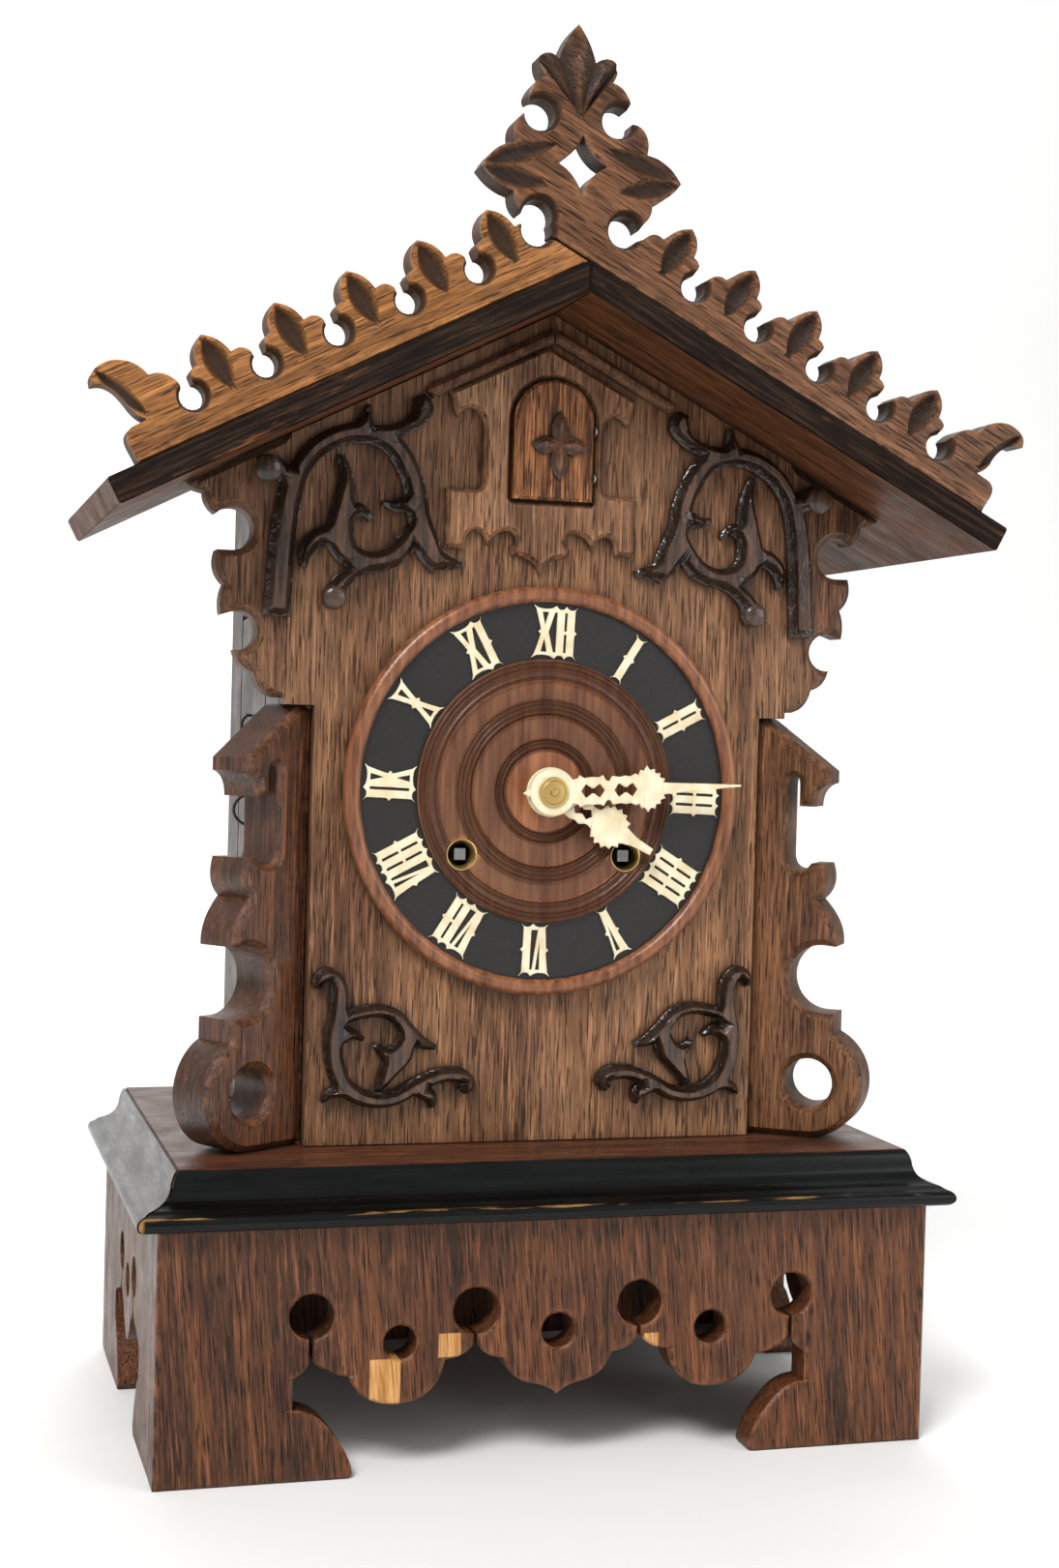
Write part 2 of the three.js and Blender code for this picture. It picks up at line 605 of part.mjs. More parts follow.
// A carved stroke: a smooth centre line with a width at each of its points.
function stroke(points, thickness, y, steps = 3) {
  const line = new THREE.SplineCurve(points.map(([x, z]) => new THREE.Vector2(x, z)));
  const width = new THREE.SplineCurve(points.map((p, i) => new THREE.Vector2(i, p[2])));
  const count = (points.length - 1) * steps;
  const left = [];
  const right = [];
  for (let i = 0; i <= count; i += 1) {
    const t = i / count;
    const at = line.getPoint(t);
    const across = line.getTangent(t);
    const half = width.getPoint(t).y / 2;
    left.push(new THREE.Vector2(at.x - across.y * half, at.y + across.x * half));
    right.unshift(new THREE.Vector2(at.x + across.y * half, at.y - across.x * half));
  }
  return upright(new THREE.Shape([...left, ...right]), y, thickness);
}

const SCROLL_THICK = 7;
const SCROLL_Y = -SCROLL_THICK - GAP;

// Strokes of the right-hand upper scroll: [x, z, width].
const UPPER_SCROLL = [
  [[96.5, 58, 9.6], [95.2, 80, 9], [93.6, 96, 8.6], [90.6, 108, 8]],
  [[91.6, 103, 5], [95, 106.4, 6.4], [99, 108.4, 8.2], [104, 108.6, 6.4]],
  [[92, 104, 7], [85.4, 114.4, 7], [76, 120.4, 7], [66, 121.6, 7], [56.6, 117.6, 7.6],
    [50, 106, 7.6], [47.6, 94, 8], [44, 83.4, 9.4], [39.4, 76.6, 6]],
  [[46, 84, 5], [40, 79.6, 6.4], [32, 78, 2]],
  [[68, 121, 8.4], [67, 127, 4.6], [66.2, 131.8, 1.4]],
  [[66, 122.6, 4.4], [57.4, 123.2, 4.4], [50.4, 126.4, 5.4], [47, 131.6, 7.4], [48.8, 136, 4]],
  [[52, 98.6, 6], [56, 97.4, 4], [60.4, 98.6, 1.6]],
  [[75.6, 114.6, 2.2], [73.6, 106, 5.4], [74.4, 96, 8.4], [75.4, 86, 10], [71.6, 79.6, 8.4],
    [63, 77.8, 7], [54.6, 81.4, 7.4], [48.6, 90, 7]],
  [[76, 86, 7], [82.4, 85.4, 6.4], [86.8, 81, 5.4], [87.4, 75, 2]],
  [[73, 94, 6.4], [68.4, 95.6, 4.4], [64, 92.4, 1.8]],
  [[64, 77, 5], [71, 73.4, 5.4], [75.6, 68.6, 6.6], [76.8, 64.6, 8], [76.6, 61.4, 4.4]],
];

const LOWER_SCROLL = [
  [[79.4, -69.4, 2.6], [78.4, -66, 4.6], [75, -64.6, 5.2], [71.6, -68.6, 5.8],
    [71.4, -77, 6.6], [73, -86, 6.8], [72.6, -95, 6.8], [68.6, -103.6, 6.6],
    [60, -108, 5.6], [51, -107.6, 5.4], [43, -103.4, 5.4], [34.6, -100, 5.4],
    [27.6, -100.4, 5.6], [24.6, -103.4, 5], [27, -106, 2.6]],
  [[76.4, -108.8, 1.8], [74, -105.8, 3.6], [68, -104.6, 5]],
  [[37.4, -111.4, 1.8], [38.4, -107.4, 5], [43, -104.4, 6]],
  [[71, -80, 5], [64.4, -78, 4.6], [57, -77.2, 4.6], [51, -79.6, 5.2], [46.6, -85, 6],
    [42, -88.4, 4.6], [36.6, -90.2, 1.8]],
  [[46.8, -85.6, 6], [48.8, -92, 8], [53, -97.6, 7], [57, -105, 2.6]],
  [[49.6, -91, 6], [54, -92.6, 5], [58.6, -88.8, 1.8]],
  [[71.4, -86, 7], [66.6, -85.2, 4], [62.4, -87.2, 1.6]],
];

const carving = (strokes) =>
  join(...strokes.map((points) => stroke(points, SCROLL_THICK, SCROLL_Y)));

function addFrontPieces() {
  add('door_surround', doorSurround(), OAK);
  for (const side of ['left', 'right']) {
    add(`gable_moulding_${side}`, sided(side, gableMoulding()), OAK);
    add(`buttress_${side}`, sided(side, buttress()), LIGHT_OAK);
    add(`scroll_upper_${side}`, sided(side, carving(UPPER_SCROLL)), CARVING);
    add(`scroll_lower_${side}`, sided(side, carving(LOWER_SCROLL)), CARVING);
  }
  const panel = archShape(DOOR_HALF, DOOR_BOTTOM, DOOR_SPRING);
  add('cuckoo_door', upright(panel, DOOR_Y[0], DOOR_Y[1] - DOOR_Y[0], 12), DARK_OAK);
  add('door_rosette', rosette(), OAK);
}

// ---------------------------------------------------------------- dial and hands
function dial() {
  // radius, distance in front of the case
  const profile = [[0, GAP], [71, GAP], [DIAL_R, 3], [71.6, 5.6], [70, 7.2], [68, 7.4],
    [66.6, 6], [66, 4.4], [46.4, 4.4], [45.6, 6.2], [44, 6.6], [42, 5.2], [40, 6.2], [38.4, 5.2],
    [32.4, 5.2], [31.4, 6], [29.4, 4.8], [27.4, 6], [26.2, 5.2], [18.6, 5.2], [16.4, 4.2],
    [14.2, 5.4], [0, 5.4]];
  const turned = new THREE.LatheGeometry(
    profile.reverse().map(([r, out]) => new THREE.Vector2(r, -out)), 48);
  const windingHoles = [-ARBOR_X, ARBOR_X].map((x) => rod(x, ARBOR_Z, KEY_HOLE_R, -12, 6, 24));
  return cut(turned, rod(0, 0, 4.2, -12, 6, 20), ...windingHoles);
}

const HOUR_Y = -12.6;               // front faces of the hands
const MINUTE_Y = -15.4;
const MINUTE_TURN = 3 * deg;
const HOUR_TURN = -28.6 * deg;

function ringHole(x, r, y) {
  return rod(x, 0, r, y - 2, y + 4, 14);
}

// A fretted bone hand lying along +X: hub ring, two pierced links, a crown and a spike.
function minuteHand() {
  const y = MINUTE_Y;
  const edge = [[0, 0], [9, 3.4], [13, 1.6], [17, 4.2], [21, 1.6], [25, 4.2], [28.6, 1.8],
    [30, 5.4], [33, 4.4], [34.6, 7], [36.4, 3], [40, 2.4], [42, 1.6], [70, 0.5]];
  const lower = edge.slice(1).reverse().map(([x, z]) => [x, -z]);
  const blade = upright(polygon([...edge, ...lower]), y, 1.2);
  const hub = rod(0, 0, 8.2, y, y + 1.2, 32);
  const tail = upright(polygon([[-7, -2.6], [-7, 2.6], [-11, 0]]), y, 1.2);
  const whole = join(blade, hub, tail);
  return cut(whole, ringHole(17, 2.2, y), ringHole(25, 2.2, y),
    ringHole(0, 1.75, y)).rotateY(-MINUTE_TURN);
}

function hourHand() {
  const y = HOUR_Y;
  const edge = [[0, 0], [8, 3], [12, 1.6], [15.6, 4], [19.6, 1.6], [21, 7.6], [25, 5.6],
    [28, 8], [30.4, 3], [34, 2.4], [35.4, 1.6], [43, 0.5]];
  const lower = edge.slice(1).reverse().map(([x, z]) => [x, -z]);
  const blade = upright(polygon([...edge, ...lower]), y, 1.2);
  const hub = rod(0, 0, 8.6, y, y + 1.2, 32);
  const pipe = rod(0, 0, 3.4, y + 0.4, BOARD + 7, 20);
  return cut(join(blade, hub, pipe), ringHole(15.6, 2, y),
    rod(0, 0, 2.3, y - 2, BOARD + 9, 16)).rotateY(-HOUR_TURN);
}

function addDialAndHands() {
  add('dial', dial(), DIAL_WOOD);
  add('hour_hand', hourHand(), BONE);
  add('minute_hand', minuteHand(), BONE);
  const nut = new THREE.SphereGeometry(3.6, 16, 10).scale(1, 0.55, 1);
  add('hand_nut', cut(nut, box(-5, 5, 0, 5, -5, 5)).translate(0, MINUTE_Y - GAP, 0), BRASS);
}

// ---------------------------------------------------------------- movement
// A wheel or pinion whose teeth are wedges; turn sets where the first tooth points.
function gear(teeth, module, y, thickness, turn, slim = false) {
  const root = module * (teeth / 2 - 1.25);
  const tip = module * (teeth / 2 + (slim ? 0.6 : 0.85));
  const step = (2 * Math.PI) / teeth;
  const points = [];
  for (let i = 0; i < teeth; i += 1) {
    const a = turn + i * step;
    const flank = slim ? 0.2 : 0.5;
    points.push([a - flank * step, root], [a, tip]);
    if (slim) points.push([a + flank * step, root]);
  }
  return upright(polygon(points.map(([a, r]) => [r * Math.cos(a), r * Math.sin(a)])),
    y, thickness);
}

const GREAT = { teeth: 80, leaves: 8, module: 0.85 };
const CENTRE = { teeth: 72, leaves: 8, module: 0.75 };
const THIRD = { teeth: 72, leaves: 6, module: 0.6 };
const STRIKE = { teeth: 64, leaves: 6, module: 0.5 };
const ESCAPE = { teeth: 40, tip: 11, root: 9, undercut: 0.04 };
const spacing = (g) => g.module * (g.teeth + g.leaves) / 2 + 0.12;
const place = (from, angle, distance) =>
  [from[0] + Math.cos(angle) * distance, from[1] + Math.sin(angle) * distance];

const TIME_ARBOR = [ARBOR_X, ARBOR_Z];
const STRIKE_ARBOR = [-ARBOR_X, ARBOR_Z];
const THIRD_ANGLE = Math.atan2(24, 18);
const THIRD_ARBOR = place([0, 0], THIRD_ANGLE, spacing(CENTRE));
const ESCAPE_ANGLE = Math.atan2(15, -18);
const ESCAPE_ARBOR = place(THIRD_ARBOR, ESCAPE_ANGLE, spacing(THIRD));
const STRIKE_WHEEL_ARBOR = place(STRIKE_ARBOR, 90 * deg, spacing(GREAT));
const FLY_ARBOR = place(STRIKE_WHEEL_ARBOR, 90 * deg, spacing(STRIKE));
const PENDULUM_Z = 62;
const PIVOT_R = 1;
const CENTRE_ARBOR_R = 1.5;
const HAMMER_ARBOR = [-50, 20];
const SLIDE_Z = 105;                // underside of the bird's slide, level with the doorway

const PIVOT_FIT = 0.06;             // running clearance of a pivot in its hole
const halfLeaf = (g) => Math.PI / g.leaves;

function platePair() {
  const plate = (y) => box(-56, 56, y, y + PLATE, -62, 68);
  const holes = (y) => [
    rod(0, 0, CENTRE_ARBOR_R + PIVOT_FIT, y - 1, y + 3, 12),
    ...[TIME_ARBOR, STRIKE_ARBOR].map(([x, z]) => rod(x, z, 3.4, y - 1, y + 3, 16)),
    ...[THIRD_ARBOR, ESCAPE_ARBOR, STRIKE_WHEEL_ARBOR, FLY_ARBOR, [0, PENDULUM_Z], HAMMER_ARBOR]
      .map(([x, z]) => rod(x, z, PIVOT_R + PIVOT_FIT, y - 1, y + 3, 12)),
  ];
  const corners = [[-51, -56], [51, -56], [-44, 62], [50, 62]];
  const feet = corners.map(([x, z]) => rod(x, z, 3, BOARD + GAP, PLATE_FRONT_Y + 0.5, 12));
  const pillars = corners.map(([x, z]) =>
    rod(x, z, 3, PLATE_FRONT_Y + PLATE + GAP, PLATE_BACK_Y + 0.5, 12));
  const guide = (y) => box(-5, 5, y, y + PLATE, 66, SLIDE_Z - GAP);
  const front = join(cut(plate(PLATE_FRONT_Y), ...holes(PLATE_FRONT_Y)), ...feet,
    guide(PLATE_FRONT_Y));
  const back = join(cut(plate(PLATE_BACK_Y), ...holes(PLATE_BACK_Y)), ...pillars,
    guide(PLATE_BACK_Y));
  return [front, back];
}

function arbor([x, z], y0, y1, radius = PIVOT_R) {
  return rod(x, z, radius, y0, y1, 12);
}

function at([x, z], geometry) {
  return geometry.translate(x, 0, z);
}

function barrel(hub, toothAngle, wheelY, drum) {
  const wheel = at(hub, gear(GREAT.teeth, GREAT.module, wheelY, PLATE, toothAngle));
  const body = join(rod(...hub, 20, ...drum, 40), wheel);
  return cut(body, rod(...hub, 3.3, 24, 64, 16));
}

function windingArbor(side) {
  const hub = side === 'left' ? STRIKE_ARBOR : TIME_ARBOR;
  const square = box(-2, 2, -3.6, 69.5, -2, 2).translate(hub[0], 0, hub[1]);
  return join(square, rod(...hub, 3.1, 17, 69, 16));
}

function addTrains() {
  const [front, back] = platePair();
  add('movement_plate_front', front, BRASS);
  add('movement_plate_back', back, BRASS);
  const toCentre = Math.atan2(-ARBOR_Z, -ARBOR_X);
  add('time_barrel', barrel(TIME_ARBOR, toCentre, 52, [36, 52.5]), BRASS);
  add('strike_barrel', barrel(STRIKE_ARBOR, 90 * deg, 33.4, [35, 51]), BRASS);
  for (const side of ['left', 'right']) {
    add(`winding_arbor_${side}`, windingArbor(side), STEEL);
  }
  const centrePinion = gear(CENTRE.leaves, GREAT.module, 49, 8,
    toCentre + Math.PI + halfLeaf(GREAT), true);
  add('centre_wheel', join(arbor([0, 0], MINUTE_Y + 1.4, 70, CENTRE_ARBOR_R),
    gear(CENTRE.teeth, CENTRE.module, 27, 1.6, THIRD_ANGLE), centrePinion), BRASS);
  add('third_wheel', join(arbor(THIRD_ARBOR, 20, 69.5),
    at(THIRD_ARBOR, gear(CENTRE.leaves, CENTRE.module, 25.6, 5,
      THIRD_ANGLE + Math.PI + halfLeaf(CENTRE), true)),
    at(THIRD_ARBOR, gear(THIRD.teeth, THIRD.module, 44, 1.6, ESCAPE_ANGLE))), BRASS);
  const sawTeeth = [];
  for (let i = 0; i < ESCAPE.teeth; i += 1) {
    const a = (i / ESCAPE.teeth) * 2 * Math.PI;
    const b = a + ESCAPE.undercut;
    sawTeeth.push([ESCAPE.tip * Math.cos(a), ESCAPE.tip * Math.sin(a)]);
    sawTeeth.push([ESCAPE.root * Math.cos(b), ESCAPE.root * Math.sin(b)]);
  }
  add('escape_wheel', join(arbor(ESCAPE_ARBOR, 20, 69.5),
    at(ESCAPE_ARBOR, gear(THIRD.leaves, THIRD.module, 42, 6,
      ESCAPE_ANGLE + Math.PI + halfLeaf(THIRD), true)),
    at(ESCAPE_ARBOR, upright(polygon(sawTeeth), 58, 1.2))), BRASS);
  add('strike_wheel', join(arbor(STRIKE_WHEEL_ARBOR, 20, 69.5),
    at(STRIKE_WHEEL_ARBOR, gear(GREAT.leaves, GREAT.module, 30, 8,
      -90 * deg + halfLeaf(GREAT), true)),
    at(STRIKE_WHEEL_ARBOR, gear(STRIKE.teeth, STRIKE.module, 46, 1.6, 90 * deg))), BRASS);
  add('fly', join(arbor(FLY_ARBOR, 20, 69.5),
    at(FLY_ARBOR, gear(STRIKE.leaves, STRIKE.module, 44, 6, -90 * deg + halfLeaf(STRIKE), true)),
    box(-11, 11, 52, 62, -0.4, 0.4).translate(FLY_ARBOR[0], 0, FLY_ARBOR[1])), BRASS);
  const hourWheel = gear(36, 1, BOARD + 2, 2, 0);
  add('hour_wheel', cut(hourWheel, rod(0, 0, 3.4 + GAP, 10, 22, 20)), BRASS);
}

function addPendulum() {
  const pallets = polygon([[0, 65], [-5, 62], [-11, 49], [-9.6, 47.6], [-7, 51], [0, 57],
    [7, 51], [9.6, 47.6], [11, 49], [5, 62]]);
  const crutch = box(-1, 1, 70, 72, 20, 62);
  const fork = box(-1, 1, 71, 75, 20, 22);
  add('anchor', join(upright(pallets, 57.8, 1.6), arbor([0, PENDULUM_Z], 22.5, 72), crutch, fork),
    STEEL);
  const stick = box(-1.6, 1.6, 75.3, 77.3, -96, PENDULUM_Z + 2);
  const bob = new THREE.SphereGeometry(16, 24, 10).scale(1, 0.22, 1).translate(0, 76.3, -100);
  add('pendulum', join(stick, bob), BRASS);
}

function gongCoil() {
  const turns = 3;
  const steps = 20 * turns;
  const points = [];
  for (let i = 0; i <= steps; i += 1) {
    const a = -90 * deg + (i / steps) * turns * 2 * Math.PI;
    const r = 12 + (i / steps) * 20;
    points.push(new THREE.Vector3(r * Math.cos(a), 0, r * Math.sin(a)));
  }
  const path = new THREE.CatmullRomCurve3(points);
  const section = new THREE.Shape();
  section.absarc(0, 0, 1.3, 0, 2 * Math.PI);
  const wire = new THREE.ExtrudeGeometry(section,
    { steps, extrudePath: path, curveSegments: 3, bevelEnabled: false });
  return wire.translate(0, 96, -76);
}

function addStrikeParts() {
  const post = box(-6, 6, 90, 102, CASE_BOTTOM + GAP, -106);
  add('gong', join(gongCoil(), post), STEEL);
  const head = new THREE.CylinderGeometry(4, 4, 10, 16).rotateZ(90 * deg)
    .translate(-44, 96, -76);
  const arm = box(-51, -49, 84, 86, -78, 22);
  const reach = box(-51, -46, 84, 97, -78, -74);
  add('hammer', join(arbor(HAMMER_ARBOR, 20, 85), arm, reach, head), STEEL);
}

function addBellows() {
  for (const side of ['left', 'right']) {
    const pipe = cut(box(60, 80, 84, 112, -34, 78), box(62, 78, 86, 110, -30, 80),
      box(64, 76, 80, 90, 58, 68));
    add(`pipe_${side}`, sided(side, pipe), PINE);
    add(`bellows_leather_${side}`, sided(side, box(58, 81, 68, 114, 78.3, 81)), LEATHER);
    add(`bellows_lid_${side}`, sided(side, box(57.6, 81.4, 67, 116, 81.3, 84.3)), PINE);
  }
}

// The bird looks out towards the door, its beak just behind it.
function cuckoo() {
  const ball = (rx, ry, rz, x, y, z) => new THREE.SphereGeometry(1, 12, 8)
    .scale(rx, ry, rz).translate(x, y, z);
  const body = ball(6.6, 13, 7.4, 0, 31, 117.4);
  const head = ball(5, 5.6, 5.4, 0, 18.6, 124.8);
  const beak = new THREE.ConeGeometry(1.8, 9, 8).rotateX(Math.PI).translate(0, 11, 124.2);
  const tail = box(-4, 4, 41, 59, 115.6, 118.6);
  const leg = rod(0, 0, 1, -4, 4, 8).rotateX(90 * deg).translate(0, 31, SLIDE_Z + 3.4 + 4);
  return join(body, head, beak, tail, leg);
}

function addBird() {
  add('cuckoo_bird', cuckoo(), PINE);
  const bar = box(-1.2, 1.2, 21, 80, SLIDE_Z, SLIDE_Z + 2);
  const stand = box(-4, 4, 27, 35, SLIDE_Z, SLIDE_Z + 3);
  add('bird_slide', join(bar, stand), STEEL);
}

addBase();
addCornice();
addCase();
addRoof();
addCrests();
addFrontPieces();
addDialAndHands();
addTrains();
addPendulum();
addStrikeParts();
addBellows();
addBird();

export default clock;
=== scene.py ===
"""A carved mantel cuckoo clock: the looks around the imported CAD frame.

Lengths are millimetres in the clock's own axes unless a name says otherwise: x from the middle,
y from the front face of the case (towards the back), z from the centre of the dial.
"""
import json
from math import acos, atan2, cos, degrees, exp, hypot, pi, radians, sin

import bmesh
import bpy
import numpy as np
from numpy.linalg import norm
from mathutils import Matrix, Vector
from mathutils.geometry import delaunay_2d_cdt


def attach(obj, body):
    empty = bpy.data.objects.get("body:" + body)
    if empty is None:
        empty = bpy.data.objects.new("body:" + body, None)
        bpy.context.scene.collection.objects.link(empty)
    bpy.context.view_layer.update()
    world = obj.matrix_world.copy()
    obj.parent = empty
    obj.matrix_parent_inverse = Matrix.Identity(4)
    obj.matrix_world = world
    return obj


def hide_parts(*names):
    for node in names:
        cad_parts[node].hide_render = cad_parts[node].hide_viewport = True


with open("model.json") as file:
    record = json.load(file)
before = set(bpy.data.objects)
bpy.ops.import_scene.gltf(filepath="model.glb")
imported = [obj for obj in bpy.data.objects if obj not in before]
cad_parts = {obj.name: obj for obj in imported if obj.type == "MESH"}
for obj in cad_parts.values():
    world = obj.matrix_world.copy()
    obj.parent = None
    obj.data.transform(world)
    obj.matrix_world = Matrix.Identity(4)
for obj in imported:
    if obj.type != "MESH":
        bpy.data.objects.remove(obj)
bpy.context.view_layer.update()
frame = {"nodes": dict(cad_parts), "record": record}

scene = bpy.context.scene
MM = 0.001
HUB = Vector((0.0, -43.5, 228.0))  # dial centre on the case front, in the frame's millimetres
SIDES = {"left": -1, "right": 1}
ROOF_APEX = 178.9  # top of the roof ridge
ROOF_EAVE = (157.8, 97.5)  # x and z of a roof board's lower end, along its top
SLOPE = degrees(atan2(ROOF_APEX - ROOF_EAVE[1], ROOF_EAVE[0]))


def place(x, y, z):
    """A point of the clock, in metres in the frame."""
    return (Vector((x, y, z)) + HUB) * MM


def arc(radii, start, end, steps, middle=(0, 0)):
    """Points of an elliptic arc between two angles in degrees, with both ends."""
    angles = [radians(start + (end - start) * k / steps) for k in range(steps + 1)]
    return [(middle[0] + radii[0] * cos(a), middle[1] + radii[1] * sin(a))
            for a in angles]


def circle(radius, sides, middle=(0, 0)):
    return arc((radius, radius), 0, 360, sides, middle)[:-1]


# ---- materials
class Shader:
    """A material's node tree, with short names for the nodes used here.

    turn is how the grain lies, in degrees from upright, and shift which part of it is shown.
    """

    def __init__(self, name, turn=(0, 0, 0), shift=(0, 0, 0)):
        self.material = bpy.data.materials.new(name)
        self.material.use_nodes = True
        self.tree = self.material.node_tree
        self.tree.nodes.clear()
        self.surface = self.add("BsdfPrincipled")
        self.add("OutputMaterial", Surface=self.surface.outputs["BSDF"])
        self.position = self.add("TexCoord").outputs["Object"]
        self.turned = self.add("Mapping", Vector=self.position, Location=shift,
                               Rotation=[radians(a) for a in turn]).outputs["Vector"]

    def add(self, kind, **inputs):
        node = self.tree.nodes.new("ShaderNode" + kind)
        for key, value in inputs.items():
            self.set(node.inputs[key], value)
        return node

    def set(self, socket, value):
        if isinstance(value, bpy.types.NodeSocket):
            self.tree.links.new(value, socket)
        else:
            socket.default_value = value

    def noise(self, per_metre, detail=3.0, roughness=0.5, distortion=0.0, vector=None):
        return self.add("TexNoise", Vector=vector or self.position, Scale=per_metre,
                        Detail=detail, Roughness=roughness, Distortion=distortion).outputs["Fac"]

    def grain(self, stretch, *settings):
        """Noise drawn out along the grain."""
        squeezed = self.add("Mapping", Vector=self.turned, Scale=(1, 1, 1 / stretch))
        return self.noise(*settings, vector=squeezed.outputs["Vector"])

    def axis(self, letter):
        """One coordinate in the frame, in metres."""
        return self.add("SeparateXYZ", Vector=self.position).outputs[letter]

    def steps(self, value, low, high, out_low=0.0, out_high=1.0):
        """Maps low..high of a value to out_low..out_high, held at both ends."""
        limits = {"From Min": low, "From Max": high, "To Min": out_low, "To Max": out_high}
        return self.add("MapRange", Value=value, **limits).outputs["Result"]

    def between(self, value, low, high, blur):
        """1 where a length lies between two levels, 0 elsewhere, with edges blur wide, in mm."""
        off = self.math("ABSOLUTE", self.math("SUBTRACT", value, (low + high) / 2 * MM))
        half = (high - low) / 2
        return self.steps(off, (half - blur / 2) * MM, (half + blur / 2) * MM, 1.0, 0.0)

    def window(self, x0, x1, z0, z1, blur=0.4):
        """1 inside an upright rectangle given in the clock's millimetres, 0 outside it."""
        return self.times(self.between(self.axis("X"), x0, x1, blur),
                          self.between(self.axis("Z"), z0 + HUB.z, z1 + HUB.z, blur))

    def math(self, operation, a, b=0.0):
        node = self.add("Math")
        node.operation = operation
        self.set(node.inputs[0], a)
        self.set(node.inputs[1], b)
        return node.outputs["Value"]

    def times(self, a, b):
        return self.math("MULTIPLY", a, b)

    def mix(self, factor, a, b):
        return self.add("MixRGB", Fac=factor, Color1=a, Color2=b).outputs["Color"]

    def layered(self, color, *layers):
        """A colour with others laid over it, each by a value that steps maps to its strength."""
        for tone, *mapping in layers:
            color = self.mix(self.steps(*mapping), color, tone)
        return color

    def attribute(self, name):
        node = self.add("Attribute")
        node.attribute_name = name
        return node.outputs["Fac"]

    def painted_shade(self, color, strength):
        """Paints shade into a colour in corners and under overhangs."""
        shelter = self.add("AmbientOcclusion", Distance=4.0 * MM)
        shelter.samples = 6
        return self.layered(color, (srgb(20, 14, 11), shelter.outputs["AO"], 0.35, 0.85,
                                    strength, 0.0))

    def bump(self, height, depth):
        return self.add("Bump", Height=height, Distance=depth * MM).outputs["Normal"]

    def finish(self, color, roughness, normal=None, metallic=0.0, coat=0.0, coat_roughness=0.3,
               specular=0.5):
        inputs = {"Base Color": color, "Roughness": roughness, "Metallic": metallic,
                  "Specular IOR Level": specular, "Coat Weight": coat,
                  "Coat Roughness": coat_roughness}
        if normal is not None:
            inputs |= {"Normal": normal, "Coat Normal": normal}
        for key, value in inputs.items():
            self.set(self.surface.inputs[key], value)
        return self.material


def srgb(r, g, b):
    """A colour given as 0-255 screen values, in the linear values shaders use."""
    linear = [((v / 255 + 0.055) / 1.055) ** 2.4 if v > 10 else v / 255 / 12.92 for v in (r, g, b)]
    return (*linear, 1.0)


def tinted(color, gain, lift=0.0):
    return tuple(min(1.0, c * gain + lift) for c in color[:3]) + (1.0,)


DARKER_UP_SPAN = (0.24, 0.36)  # frame heights in metres over which the wood darkens upwards
RUBBED = 0.65  # width of the line along which paint is rubbed through


